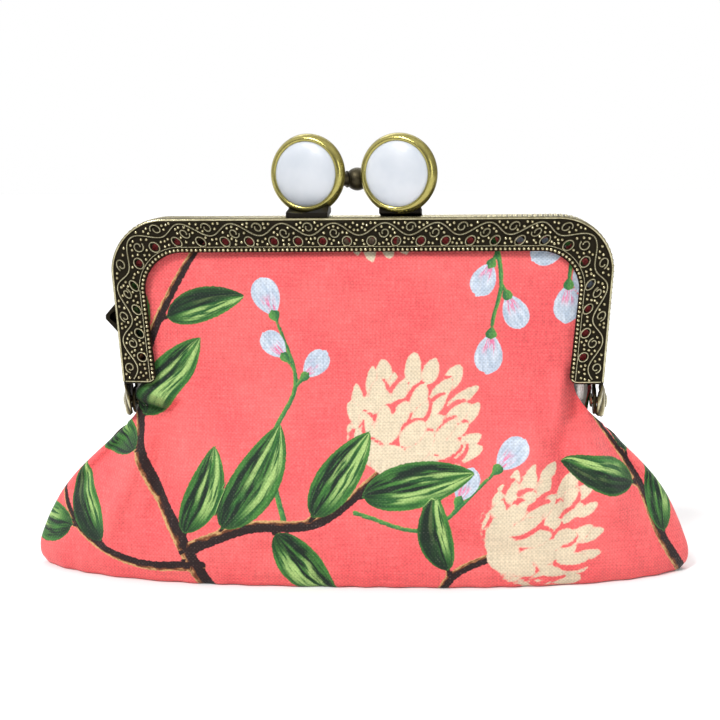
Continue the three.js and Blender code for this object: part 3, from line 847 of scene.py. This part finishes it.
def make_head(side, brass, stone):
    """A cup and its cabochon."""
    low, high = node_box(side + "_bezel")
    centre = (low + high) / 2
    body = "front_half" if side == "left" else "back_half"
    start = centre - np.array(head_axis()) * BEZEL_DEPTH / 2 - np.array([0, 0, HEAD_DROP])
    angles = np.radians(np.arange(0, 91, 6))
    dome = [(STONE_RADIUS * math.cos(a), STONE_SHOULDER + STONE_DOME * math.sin(a)) for a in angles]
    dome[-1] = (0, dome[-1][1])
    stone_profile = [(0, STONE_FOOT), (STONE_RADIUS, STONE_FOOT), *dome]
    for name, node, profile, finish, slot in (
        ("cup", "bezel", CUP_PROFILE, brass, "polished_brass"),
        ("stone", "cabochon", stone_profile, stone, "cabochon"),
    ):
        vertices, faces = lathe(profile, 96)
        pile = Pile()
        # Brighter over the cup's outer bulge and rim: wear and a painted highlight (the stone's material does
        # not read it).
        wear_and_painted_light = 0.2 + 0.7 * smoothstep(vertices[:, 2], 2.4, 4.8)
        pile.add(placed(vertices, head_axis(), start), faces, wear_and_painted_light)
        piece = pile.build(f"{side}_{name}", finish)
        piece.data.set_sharp_from_angle(angle=math.radians(50))
        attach(piece, body)
        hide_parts(f"{side}_{node}")


def make_lock_bead(material):
    """The bead between the heads, with its collar and neck."""
    low, high = node_box("lock_bead")
    centre = Vector((high[0] - LOCK_RADIUS, LOCK_Y, (low[2] + high[2]) / 2 - BEAD_DROP))
    end = Vector((LOCK_NECK_X, LOCK_NECK_Y, centre.z))
    length = (end - centre).length
    angles = np.radians(np.arange(0, 146, 7))
    profile = [(LOCK_RADIUS * math.sin(a), -LOCK_RADIUS * math.cos(a)) for a in angles]
    profile[0] = (0, profile[0][1])
    profile += [(1.6, 2.45), (2.05, 2.6), (2.1, 2.85), (1.7, 3), (1.7, length), (0, length)]
    vertices, faces = lathe(profile, 56)
    pile = Pile()
    pile.add(placed(vertices, end - centre, centre), faces, np.full(len(vertices), 0.3))
    piece = pile.build("lock_bead_smooth", material)
    piece.data.set_sharp_from_angle(angle=math.radians(50))
    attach(piece, "front_half")
    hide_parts("lock_bead")


def soften_cad_node(name, material, width):
    """A CAD node that keeps its shape, with its edges rounded."""
    node = frame["nodes"][name]
    node.data.materials.clear()
    node.data.materials.append(material)
    bevel = node.modifiers.new("rounded edges", "BEVEL")
    bevel.width = width * MM
    bevel.segments = 3
    bevel.limit_method = "ANGLE"
    bevel.angle_limit = math.radians(35)
    return node


# ---------------------------------------------------------------- the printed pattern
LAYERS = ("stem", "branch", "bud", "flower", "leaf", "calyx")
OUTSIDE = -9.0
# Rings of a flower's petals: share of the way from its base to its rim, angle between petals in
# radians, and their length and width as shares of the flower's radius.
PETAL_RINGS = [
    (0.87, 0.21, 0.5, 0.28), (0.74, 0.26, 0.48, 0.27), (0.6, 0.29, 0.48, 0.27), (0.46, 0.34, 0.5, 0.27),
    (0.32, 0.5, 0.62, 0.34),
]
SLIT_WIDTH = (0.9, 2)  # least and most ground that shows beside a petal
PETAL_MERGES = 0.36  # share of the petals with no ground beside them


class Print:
    """What is printed at each point of a cloth: for each layer, a local place, a seed and a depth.

    The depth is the distance in millimetres to the motif's edge, above 0 inside it.
    """

    def __init__(self, across, up):
        self.at = np.stack([across, up], 1)
        self.layers = {name: np.tile([0, 0, 0, OUTSIDE], (len(across), 1)).astype(float) for name in LAYERS}

    def near(self, points, margin):
        """Indices of the cloth's points that lie near some places."""
        points = np.atleast_2d(points)
        low, high = points.min(0) - margin, points.max(0) + margin
        return np.nonzero(((self.at > low) & (self.at < high)).all(1))[0]

    def put(self, layer, rows, along, across, seed, depth):
        data = self.layers[layer]
        deeper = depth > data[rows, 3]
        data[rows[deeper]] = np.stack([along, across, np.broadcast_to(seed, depth.shape), depth], 1)[deeper]

    def blade(self, layer, base, tip, width, bend=0.0, seed=0.0, widest=0.42, blunt=1.0):
        """A leaf, petal or bud from base to tip, with its middle line bent sideways."""
        base, tip = np.array(base, float), np.array(tip, float)
        length = np.linalg.norm(tip - base)
        rows = self.near([base, tip], width + 3)
        offset = (self.at[rows] - base) / length
        axis = (tip - base) / length
        along = offset @ axis
        inside = np.clip(along, 0, 1)
        sideways = (offset @ [-axis[1], axis[0]] - bend * 4 * inside * (1 - inside)) * length
        rise = blunt * widest / (1 - widest)
        profile = inside**rise * (1 - inside) ** blunt
        half = width / 2 * profile / (widest**rise * (1 - widest) ** blunt)
        ends = np.minimum(along, 1 - along) * length
        depth = np.minimum((half - np.abs(sideways)) * 0.85, ends + 0.3)
        self.put(layer, rows, along, sideways / np.maximum(half, 0.3), seed, depth)

    def line(self, layer, points, start, end, seed=0.0):
        """A branch or stem through points, as wide as start at first and end at last."""
        line = curve_through(points, 0.6)
        rows = self.near(line, max(start, end) + 3)
        difference = self.at[rows][:, None] - line[None]
        distance = np.hypot(difference[..., 0], difference[..., 1])
        nearest = distance.argmin(1)
        tangent = np.gradient(line, axis=0)[nearest]
        chosen = difference[np.arange(len(rows)), nearest]
        side = np.sign(tangent[:, 0] * chosen[:, 1] - tangent[:, 1] * chosen[:, 0])
        walked = np.append(0, np.cumsum(np.linalg.norm(np.diff(line, axis=0), axis=1)))
        half = (start + (end - start) * walked[nearest] / walked[-1]) / 2
        walked = walked[nearest]
        least = distance.min(1)
        self.put(layer, rows, walked, side * least / half, seed, half - least)

    def leaf(self, base, tip, width, bend=0.0, small=False):
        seed = round(abs(base[0] * 3 + tip[1])) % 17 + (0.5 if small else 0)
        self.blade("leaf", base, tip, width, bend, seed, blunt=0.8)

    def bud(self, base, tip, width):
        base, tip = np.array(base, float), np.array(tip, float)
        self.blade("bud", base, tip, width, 0, abs(round(base[0])) % 13, widest=0.6, blunt=0.5)
        axis = (tip - base) / np.linalg.norm(tip - base)
        self.blade("calyx", base - axis * 2, base + axis * 1.3, width * 0.42, 0, 3, widest=0.7, blunt=0.5)

    def flower(self, base, centre, radius, seed):
        """A round head of petals that fan out from its base, with a slit of ground beside most of them."""
        base, centre = np.array(base, float), np.array(centre, float)
        rng = np.random.default_rng(seed)
        heading = math.atan2(*(centre - base)[::-1])
        rows = self.near(centre, radius + 5)
        depth = np.full(len(rows), OUTSIDE)
        for share, spacing, long, wide in PETAL_RINGS:
            for angle in np.arange(-1.75 + rng.uniform(0, spacing), 1.75, spacing):
                turn = heading + angle + rng.uniform(-0.25, 0.25) * spacing
                out = np.array([math.cos(turn), math.sin(turn)])
                towards = out @ (centre - base)
                chord = towards + math.sqrt(max(towards**2 - np.sum((centre - base) ** 2) + radius**2, 0))
                middle = base + chord * (share + rng.uniform(-0.03, 0.03)) * out
                tilt = turn - angle * 0.3 + rng.uniform(-0.28, 0.28)
                length, width = radius * long * rng.uniform(0.8, 1.2), radius * wide * rng.uniform(0.75, 1.25)
                slit, side = rng.uniform(*SLIT_WIDTH), rng.choice([-1, 1])
                if rng.random() > PETAL_MERGES:
                    beside = middle + side * slit * 0.4 * np.array([math.sin(tilt), -math.cos(tilt)])
                    cut = self.petal_depth(rows, beside, tilt, length * 1.08, width + slit)
                    depth = np.minimum(depth, -cut)
                depth = np.maximum(depth, self.petal_depth(rows, middle, tilt, length, width))
        from_base = np.linalg.norm(self.at[rows] - base, axis=1)
        from_centre = np.linalg.norm(self.at[rows] - centre, axis=1)
        cup = np.minimum(radius * 0.3 - from_base, radius * 0.99 - from_centre)
        self.put("flower", rows, from_base, from_centre, seed, np.maximum(depth, cup))

    def petal_depth(self, rows, middle, turn, length, width):
        """Distance inside a petal that is broad near its tip and narrow at its base."""
        offset = self.at[rows] - middle
        along = (offset @ [math.cos(turn), math.sin(turn)]) / length + 0.5
        sideways = np.abs(offset @ [-math.sin(turn), math.cos(turn)])
        inside = np.clip(along, 0, 1)
        half = width / 2 * inside**0.55 * (1 - inside) ** 0.62 * 1.82
        return np.minimum((half - sideways) * 0.9, np.minimum(along + 0.02, 1 - along) * length)


# How the print is laid out. Places are on the flat cloth, across and up from the base edge. Leaves
# and buds grow at shares of a branch's length, to its left above 0 and to its right below 0.
LEAF_SPREAD = 0.75  # angle between a leaf and its branch, in radians
LEAF_SLIMNESS = 0.42
SMALL_LEAF = 22  # leaves shorter than this are half in shade
LEAF_STALK = 2.5
BUD_SPREAD = 0.5
BUD_STALK = 3.5
BUD_LENGTH = 9.5
BUD_SLIMNESS = 0.7
# Branches: places, first and last width, leaf length, and where the leaves grow.
BRANCHES = [
    ([(-32, -10), (-44, 12), (-58, 36), (-54, 60), (-38, 90)], 4.2, 1.8, 25, (-0.2, 0.42, -0.5, 0.68, -0.76)),
    ([(-42, 8), (-26, 14), (-8, 16), (8, 30)], 3.4, 2.2, 26, (0.16, -0.4, 0.56, -0.8)),
    ([(-38, 4), (-56, 4), (-74, 12), (-88, 28)], 2.8, 1.4, 24, (-0.45, 0.62)),
    ([(92, -8), (80, 8), (72, 24), (60, 42)], 3.8, 1.4, 25, (-0.34, 0.6, -0.72)),
    ([(18, -12), (24, 2), (36, 8)], 2.6, 2, 20, (0.5,)),
]
# Stems: places, first and last width, and where the buds grow; each one ends in a bud too.
STEMS = [
    ([(-17, 15), (-22, 34), (-16, 50), (-20, 64)], 1.5, 1, (-0.7, 0.8)),
    ([(20, 98), (32, 88), (35, 76), (33, 66)], 1.6, 1, (0.3, -0.55, 0.76)),
    ([(64, 98), (54, 88), (52, 78)], 1.4, 1, (-0.6, 0.8)),
    ([(0, 18), (18, 14), (32, 26)], 1.2, 1, (0.7,)),
]
# Flowers: base, heading in degrees, radius and seed.
FLOWERS = [
    ((8, 30), 62, 16.5, 5), ((36, 8), 28, 15.5, 9), ((2, 100), -70, 11, 4), ((-88, 28), 80, 14, 3),
    ((8, -30), 70, 11, 8),
]


def side_shoot(line, share, spread):
    """Where a shoot leaves a line, and the direction it takes."""
    start = round(abs(share) * (len(line) - 1))
    heading = line[min(start + 1, len(line) - 1)] - line[start - 1]
    turn = math.atan2(heading[1], heading[0]) + math.copysign(spread, share)
    return line[start], np.array([math.cos(turn), math.sin(turn)])


def draw_branch(p, places, first, last, long, leaves, seed):
    """A branch with its leaves, each a little different in length and direction."""
    rng = np.random.default_rng(seed)
    line = curve_through(places, 0.6)
    p.line("branch", places, first, last, seed)
    for share in leaves:
        start, out = side_shoot(line, share, LEAF_SPREAD + rng.uniform(-0.2, 0.15))
        stalk = start + LEAF_STALK * out
        length = long * rng.uniform(0.82, 1.14)
        p.line("branch", [start, (start + stalk) / 2, stalk], 1.6, 1.2, seed)
        bend = rng.uniform(-0.08, 0.08)
        p.leaf(stalk, stalk + length * out, length * LEAF_SLIMNESS, bend, small=length < SMALL_LEAF)


def draw_stem(p, places, first, last, buds, seed):
    """A stem with side buds, and one at its end."""
    rng = np.random.default_rng(seed)
    line = curve_through(places, 0.6)
    p.line("stem", places, first, last)
    ends = [side_shoot(line, share, BUD_SPREAD + rng.uniform(-0.1, 0.2)) for share in buds]
    for start, out in [*ends, side_shoot(line, 1, 0.1)]:
        stalk = start + BUD_STALK * out
        length = BUD_LENGTH * rng.uniform(0.85, 1.1)
        p.line("stem", [start, (start + stalk) / 2, stalk], 1, 1)
        p.bud(stalk, stalk + length * out, length * BUD_SLIMNESS)


def draw_print(p):
    """Flower heads, buds and leafy branches."""
    for seed, (places, first, last, long, leaves) in enumerate(BRANCHES):
        draw_branch(p, places, first, last, long, leaves, seed)
    for seed, (places, first, last, buds) in enumerate(STEMS):
        draw_stem(p, places, first, last, buds, seed)
    for base, heading, radius, seed in FLOWERS:
        turn = math.radians(heading)
        centre = np.array(base) + 0.8 * radius * np.array([math.cos(turn), math.sin(turn)])
        p.flower(base, centre, radius, seed)


def shade_print(m):
    """Colour of the printed cloth."""
    across, up, *_ = m.field("flat_place")
    flat = m.vector(across, up)
    wobble = m.math("MULTIPLY_ADD", m.noise(flat, 1.1, detail=3), 0.9, -0.45)
    dye = m.noise(flat, 0.055, detail=3)
    fine = m.noise(flat, 1.4, detail=2)
    color = m.mix(m.ramp(dye, 0.3, 0.7), CORAL_DEEP, CORAL)
    color = m.mix(m.math("MULTIPLY", m.ramp(fine, 0.35, 0.75), 0.3), color, CORAL_LIGHT)
    for layer in LAYERS:
        along, sideways, seed, depth = m.field(layer)
        motif = MOTIF_COLORS[layer](m, along, sideways, seed, depth)
        mask = m.ramp(m.math("ADD", depth, m.math("MULTIPLY", wobble, WOBBLE[layer])), -0.13, 0.13)
        color = m.mix(mask, color, motif)
    return color


def band_of(m, value, middle, half, soft):
    """1 where value is within half of middle, fading to 0 over soft."""
    return m.ramp(m.math("ABSOLUTE", m.math("SUBTRACT", value, middle)), half, half + soft, 1, 0)


def leaf_color(m, along, sideways, seed, depth):
    small = m.ramp(m.math("FRACT", seed), 0.2, 0.3)
    broad = m.noise(m.stretched(along, 2.6, sideways, 1.8, seed), 1, detail=4)
    streak = m.noise(m.stretched(along, 3, sideways, 5.5, seed), 1, detail=3)
    bent = m.math("ADD", sideways, m.math("MULTIPLY_ADD", broad, 0.7, -0.35))
    color = m.mix(m.ramp(streak, 0.35, 0.65), LEAF_DEEP, LEAF_MIDDLE)
    for place, half, soft, start, end in LEAF_LIGHTS:
        pale = m.math("MULTIPLY", band_of(m, bent, place, half, soft), m.ramp(along, start, end))
        color = m.mix(m.math("MULTIPLY", pale, m.ramp(streak, 0.4, 0.54)), color, LEAF_LIGHT)
    for place, half, soft, start, end in LEAF_DARKS:
        dark = m.math("MULTIPLY", band_of(m, bent, place, half, soft), m.ramp(along, end, start))
        color = m.mix(m.math("MULTIPLY", dark, m.ramp(streak, 0.6, 0.48, 0.35, 1)), color, LEAF_DARK)
    shaded = m.math("MULTIPLY", m.ramp(bent, -0.1, 0.15), small)
    color = m.mix(m.math("MULTIPLY", shaded, 0.8), color, LEAF_DARK)
    color = m.mix(m.ramp(along, 0.26, 0.03, 0, 0.65), color, LEAF_DARK)
    edge = m.math("MULTIPLY", m.ramp(depth, 0.7, 0.1), m.ramp(broad, 0.4, 0.6, 0.1, 0.6))
    return m.mix(edge, color, LEAF_MIDDLE)


def branch_color(m, along, sideways, seed, depth):
    streak = m.noise(m.stretched(along, 0.35, sideways, 1.6, seed), 1, detail=3)
    lit = m.math("ADD", sideways, m.math("MULTIPLY_ADD", streak, 1.6, -0.8))
    color = m.mix(m.ramp(lit, 0.25, 0.6), BARK_DARK, BARK_MIDDLE)
    return m.mix(m.ramp(lit, 0.55, 0.85), color, BARK_LIGHT)


def stem_color(m, along, sideways, seed, depth):
    streak = m.noise(m.vector(m.math("MULTIPLY", along, 0.5), sideways, seed), 1, detail=2)
    lit = m.math("ADD", m.math("MULTIPLY", sideways, 0.3), streak)
    return m.mix(m.ramp(lit, 0.3, 0.75), STEM_DARK, STEM_LIGHT)


def bud_color(m, along, sideways, seed, depth):
    streak = m.noise(m.stretched(along, 3, sideways, 3.2, seed), 1, detail=3)
    color = m.mix(m.ramp(streak, 0.3, 0.7), BUD_SHADE, BUD_LIGHT)
    blush = m.noise(m.stretched(along, 2.4, sideways, 5, seed), 1.3, detail=2)
    low = m.math("MULTIPLY", m.ramp(along, 0.62, 0.3), band_of(m, sideways, 0, 0.35, 0.3))
    return m.mix(m.math("MULTIPLY", low, m.ramp(blush, 0.42, 0.56)), color, BUD_PINK)


def flower_color(m, along, sideways, seed, depth):
    wash = m.noise(m.vector(m.math("MULTIPLY", along, 1.5), sideways, seed), 1, detail=2)
    color = m.mix(wash, CREAM_SHADE, CREAM)
    return m.mix(m.ramp(depth, 0.35, 0.0, 0, 0.3), color, CORAL_LIGHT)


CORAL = rgb(250, 108, 108)
CORAL_DEEP = rgb(243, 92, 96)
CORAL_LIGHT = rgb(255, 135, 130)
LEAF_DARK = rgb(20, 40, 28)
LEAF_DEEP = rgb(38, 90, 42)
LEAF_MIDDLE = rgb(74, 134, 58)
LEAF_LIGHT = rgb(168, 202, 120)
# Strokes along a leaf: where they run across it, half width, softness, and where they start and end.
LEAF_LIGHTS = [(-0.44, 0.1, 0.24, 0.12, 0.38), (0.22, 0.04, 0.15, 0.3, 0.5)]
LEAF_DARKS = [(-0.04, 0.07, 0.12, 0.5, 0.85), (0.54, 0.14, 0.24, 0.75, 1)]
BARK_DARK = rgb(40, 24, 24)
BARK_MIDDLE = rgb(124, 70, 40)
BARK_LIGHT = rgb(206, 164, 108)
STEM_DARK = rgb(52, 116, 66)
STEM_LIGHT = rgb(96, 156, 76)
BUD_SHADE = rgb(178, 194, 214)
BUD_LIGHT = rgb(214, 224, 236)
BUD_PINK = rgb(236, 130, 170)
CREAM = rgb(234, 219, 192)
CREAM_SHADE = rgb(222, 203, 172)
MOTIF_COLORS = {
    "stem": stem_color, "branch": branch_color, "bud": bud_color,
    "flower": flower_color, "leaf": leaf_color, "calyx": stem_color,
}
WOBBLE = {"stem": 0.3, "branch": 0.8, "bud": 0.35, "flower": 0.75, "leaf": 0.5, "calyx": 0.3}


def make_print_cotton():
    m = Nodes("print_cotton")
    across, up, *_ = m.field("flat_place")
    weave = weave_height(m, across, up)
    slub = slubs(m, across, up)
    color = shade_print(m)
    thread = m.math("MULTIPLY_ADD", slub, 0.9, m.math("MULTIPLY", weave, 0.22))
    color = m.mix(1.0, color, m.ramp(thread, 0.25, 0.85, 0.72, 1.14), "MULTIPLY")
    color = m.mix(m.ramp(thread, 0.6, 0.85, 0.0, 0.06), color, rgb(246, 226, 214))
    height = m.math("ADD", m.math("MULTIPLY", weave, 0.5), slub)
    return m.finish(
        Base_Color=color, Roughness=0.78, Sheen_Weight=0.15, Sheen_Roughness=0.4,
        Specular_IOR_Level=0.3, Normal=m.bump(height, 0.14, 0.7),
    )


# ---------------------------------------------------------------- the cloth's shape
# Half width of the cloth at each height below the frame, and its depth in the middle.
EDGE_ROWS = [
    (0, 83), (1.4, 83.8), (3, 84.4), (5, 84.5), (10, 83), (15, 80.8), (20, 78), (24, 75), (28, 71.2),
    (32.5, 66.4), (36.7, 61.8), (39.5, 58.6), (41.4, 56.8), (45, 54.2), (49, 53.4), (53, 55.6), (57, 57.8),
]
DEPTH_ROWS = [
    (0, 18.8), (1.4, 21.1), (3, 22.1), (5, 22.5), (9, 22.7), (13, 22.2), (21, 20.3), (30, 17.2), (36, 14.6),
    (40, 12.9), (45, 11), (50, 9.7), (56, 8.9), (64, 8.2), (72, 7.6), (77, 7), (79.4, 6.3), (80.9, 5.3),
    (82.4, 4.6), (87, 4.4),
]
# The back cloth's edges leave room for the front ears to swing, then stand further out beside the hinges.
BACK_EDGE_ROWS = [
    *EDGE_ROWS[:11], (38.4, 58.2), (39.5, 57.2), (41.4, 57), (45, 57), (49, 57), (53, 57.3), (57, 57.8),
]
# Depth of the cloth's side edges, which leave the frame's channel and meet in the side seams.
SIDE_ROWS = [(0, 0), (37, 0), (39.5, 1.3), (41.4, 2.6), (45, 3.8), (49, 4.4), (52, 4.6), (87, 4.6)]
# Half width of the stretch that bulges: all of the pouch, and the opening between the legs.
OPEN_ROWS = [(40, 58), (44, 55.2), (47, 54), (50, 52.8), (56, 52.2), (66, 53), (77, 53.9), (87, 53.9)]
CLOTH_TOP = 86.4
CHANNEL_INSET = 3.2
BASE_SHIFT = {"front": 1.2, "back": -1.2}  # the base hangs a little to the left, seen from the front
# How much closer to the ear one edge of each cloth stands: the left one in front, the right one behind.
EDGE_FLARE = {"front": 3.9, "back": 1.2}
COLUMNS = 231
ROW_STEP = 0.7

edge_at = {"front": smooth_table(EDGE_ROWS), "back": smooth_table(BACK_EDGE_ROWS)}
depth_at = smooth_table(DEPTH_ROWS)
side_at = smooth_table(SIDE_ROWS)
open_at = smooth_table(OPEN_ROWS)


def channel_edge(z):
    """Half width of the cloth's edge where a frame half holds it."""
    radius = corner_radius(CHANNEL_INSET)
    corner_z = FRAME_TOP - CHANNEL_INSET - radius
    straight = FRAME_HALF_WIDTH - CHANNEL_INSET
    if z > corner_z:
        return straight - radius + math.sqrt(radius**2 - (z - corner_z) ** 2)
    return straight - LEG_TAPER * (corner_z - z) / (corner_z - LEG_END)


def cloth_rows(prefix):
    """A cloth's rows from the frame's channel to the base seam: height, half width, edge and middle depth."""
    rows = []
    z = CLOTH_TOP
    while z > 1.4:
        wide = channel_edge(z) if z > 57 else float(edge_at[prefix](z))
        rows.append((z, wide, float(side_at(z)), float(depth_at(z))))
        slope = (depth_at(z) - depth_at(z - 0.1)) / 0.1
        z -= ROW_STEP / math.hypot(1, slope)
    walked = rows[-1][3]
    turned_under = np.linspace(walked - 0.1, walked - 1.2, 5)
    base = np.linspace(walked - 1.8, 0, int(walked / ROW_STEP))
    for depth in [*turned_under, *base]:
        turn = float(np.clip((depth - walked + 1.3) / 1.3, 0, 1))
        rows.append((0.06 + 1.3 * turn**1.6, 82.2 + 1.3 * turn, 0, depth))
    return rows


def row_curve(z, wide, side, deep, inward):
    """X and Y across one row of the front cloth, from its left edge to its right one."""
    wide = wide - inward * 1.6
    side = max(side - inward, 0)
    deep = max(deep - inward, 0)
    opening = min(float(open_at(z)), wide) if z > 41 else wide
    flat = 2.6 + 0.4 * (1 - smoothstep(z, 30, 48))
    crown = 1 - 0.26 * (1 - smoothstep(z, 38, 52))
    x = wide * np.sin(np.linspace(0, math.pi / 2, 260))
    share = np.clip(x / opening, 0, 1)
    y = -(side + (deep - side) * np.clip(1 - share**flat, 0, 1) ** crown)
    walked = np.append(0, np.cumsum(np.hypot(np.diff(x), np.diff(y))))
    half = np.linspace(0, walked[-1], COLUMNS // 2 + 1)
    x, y = np.interp(half, walked, x), np.interp(half, walked, y)
    return [np.append(sign * v[:0:-1], v) for v, sign in ((x, -1), (y, 1), (half, -1))]


def cloth_grid(prefix, inward):
    """Points of the front cloth row by row, and their flat places: across, and up from the base edge."""
    rows = cloth_rows(prefix)
    points, across = [], []
    for z, wide, side, deep in rows:
        x, y, flat = row_curve(z, wide, side, deep, inward)
        x = x - BASE_SHIFT[prefix] * (1 - smoothstep(z, 8, 38))
        x = x - EDGE_FLARE[prefix] * math.exp(-(((z - 46) / 4) ** 2)) * np.clip(-x / wide, 0, 1) ** 6
        points.append(np.stack([x, y, np.full(len(x), max(z, inward + 0.2))], 1))
        across.append(flat)
    points = np.array(points)
    middle = points[:, COLUMNS // 2]
    walked = np.append(0, np.cumsum(np.linalg.norm(np.diff(middle, axis=0), axis=1)))
    edge = np.argmax(points[:, COLUMNS // 2, 2] < 1.5)
    up = np.broadcast_to((walked[edge] - walked)[:, None], points.shape[:2])
    return points, np.array(across), up


# Soft folds of the front cloth: from and to in X and Z, half width, and height, below 0 for a valley.
FOLDS = [
    ((56, 54), (53.5, 36), 2.8, -2.2), ((49.5, 52), (49, 34), 2.2, 1), ((55, 40), (66, 12), 3.2, 1.7),
    ((50, 40), (53, 10), 2.8, -1.4), ((58, 38), (76, 18), 2.2, -1.4), ((44, 48), (42, 12), 3.6, 0.9),
    ((-62, 43), (-48, 40.5), 1.2, -2.2), ((-50, 40), (-45, 44), 1.3, -1), ((-57, 47), (-47, 44.5), 1.6, 1),
    ((-54, 38), (-65, 8), 3, 1.7), ((-50, 40), (-51, 12), 2.4, -1.3), ((-58, 38), (-77, 18), 2.2, -1.4),
    ((-45, 46), (-42, 14), 3.2, 0.9), ((14, 14), (44, 7), 3.5, -0.8), ((-30, 10), (-4, 6), 3, -0.7),
    ((-12, 62), (-20, 32), 5, 0.45), ((28, 66), (36, 36), 5, -0.45),
]
FOLD_STRENGTH = 1.7
PUCKER = 0.3  # height of the small gathers above the base seam
FOLD_TAPER = 0.3  # how much of a fold's length fades out at each end


def fold_height(points, mirrored):
    """How far the folds lift the cloth at its points."""
    lift = np.zeros(points.shape[:2])
    place = points[..., [0, 2]] * (-1 if mirrored else 1, 1)
    for start, end, wide, height in FOLDS:
        start, along = np.array(start), np.subtract(end, start)
        length = np.linalg.norm(along)
        walked = (place - start) @ along / length**2
        aside = (place - start) @ [-along[1], along[0]] / length
        fade = smoothstep(walked, -0.05, FOLD_TAPER) * (1 - smoothstep(walked, 1 - FOLD_TAPER, 1.05))
        lift += FOLD_STRENGTH * height * fade * np.exp(-((aside / wide) ** 2))
    x, z = np.moveaxis(place, -1, 0)
    return lift + PUCKER * np.exp(-z / 6) * np.sin(0.7 * x + 1.4 * np.sin(0.17 * x))


# ---------------------------------------------------------------- the cloth pieces
LAYER_DEPTH = {"outer": 0.0, "fleece": 0.6, "lining": 1.15}
# The CAD nodes that a layer covers: in the frame half, and in the pouch.
COVERED_NODES = {
    "outer": ("panel", "pouch_outer"),
    "fleece": ("interlining", "pouch_interlining"),
    "lining": ("lining", "pouch_lining"),
}
SEAM_GROOVE = 0.4
BACK_PRINT_SHIFT = (8, 84)  # the back cloth is cut from the same print, turned round


def thin_out(grid):
    """Every second row and column, with the last row kept."""
    rows = np.unique(np.append(np.arange(0, grid.shape[0], 2), grid.shape[0] - 1))
    return grid[rows][:, ::2]


def folded_grid(prefix, layer):
    """A layer's points with its folds and seam groove, and their flat places."""
    points, across, up = cloth_grid(prefix, LAYER_DEPTH[layer])
    if layer != "outer":
        points, across, up = thin_out(points), thin_out(across), thin_out(up)
    away = smoothstep(LAYER_DEPTH[layer] - points[..., 1], 1.5, 5)
    lift = fold_height(points, prefix == "back") * away
    if layer != "outer":
        lift -= 0.12 * np.abs(lift)
    points[..., 1] -= lift
    rim = np.abs(across).max(1, keepdims=True) - np.abs(across)
    seam = SEAM_GROOVE * np.exp(-((rim / 0.9) ** 2)) * (points[..., 2] < 37)
    points[..., 0] -= np.sign(points[..., 0]) * seam
    return points, across, up


def make_cloth(prefix, layer, material):
    points, across, up = folded_grid(prefix, layer)
    flat = points.reshape(-1, 3)
    faces = grid_faces(*points.shape[:2], flip=layer == "outer")
    name = f"{layer}_cloth_{prefix}"
    piece = make_object(name, flat if prefix == "front" else half_turn(flat), faces, material)
    place_across, place_up = across.ravel(), up.ravel()
    if prefix == "back":
        place_across = BACK_PRINT_SHIFT[0] - place_across
        place_up = BACK_PRINT_SHIFT[1] - place_up
    set_attribute(piece, "flat_place", np.stack([place_across, place_up, 0 * place_up], 1), "FLOAT_VECTOR")
    if layer == "outer":
        pattern = Print(place_across, place_up)
        draw_print(pattern)
        for key, values in pattern.layers.items():
            set_attribute(piece, key, values, "FLOAT_COLOR")
    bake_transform(piece)
    panel_node, pouch_node = COVERED_NODES[layer]
    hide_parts(f"{prefix}_{panel_node}", pouch_node)


# ---------------------------------------------------------------- the whole scene
def main():
    make_camera()
    make_stage()
    brass, polished, bronze = (make_brass(name, *looks) for name, looks in METALS.items())
    stone = make_cabochon()
    paper_cord = make_paper_cord()
    for prefix in ("front", "back"):
        make_frame_half(prefix, brass)
        cord_materials = frame["nodes"][prefix + "_paper_cord"].data.materials
        cord_materials.clear()
        cord_materials.append(paper_cord)
    for side in ("left", "right"):
        make_head(side, polished, stone)
        soften_cad_node(side + "_clasp_foot", bronze, 0.5)
        make_rivet(side, brass)
    make_lock_bead(bronze)
    soften_cad_node("strap_lug", brass, 0.35)
    materials = {"outer": make_print_cotton(), "fleece": make_fleece(), "lining": make_lining_cotton()}
    for prefix in ("front", "back"):
        for layer, material in materials.items():
            make_cloth(prefix, layer, material)


main()
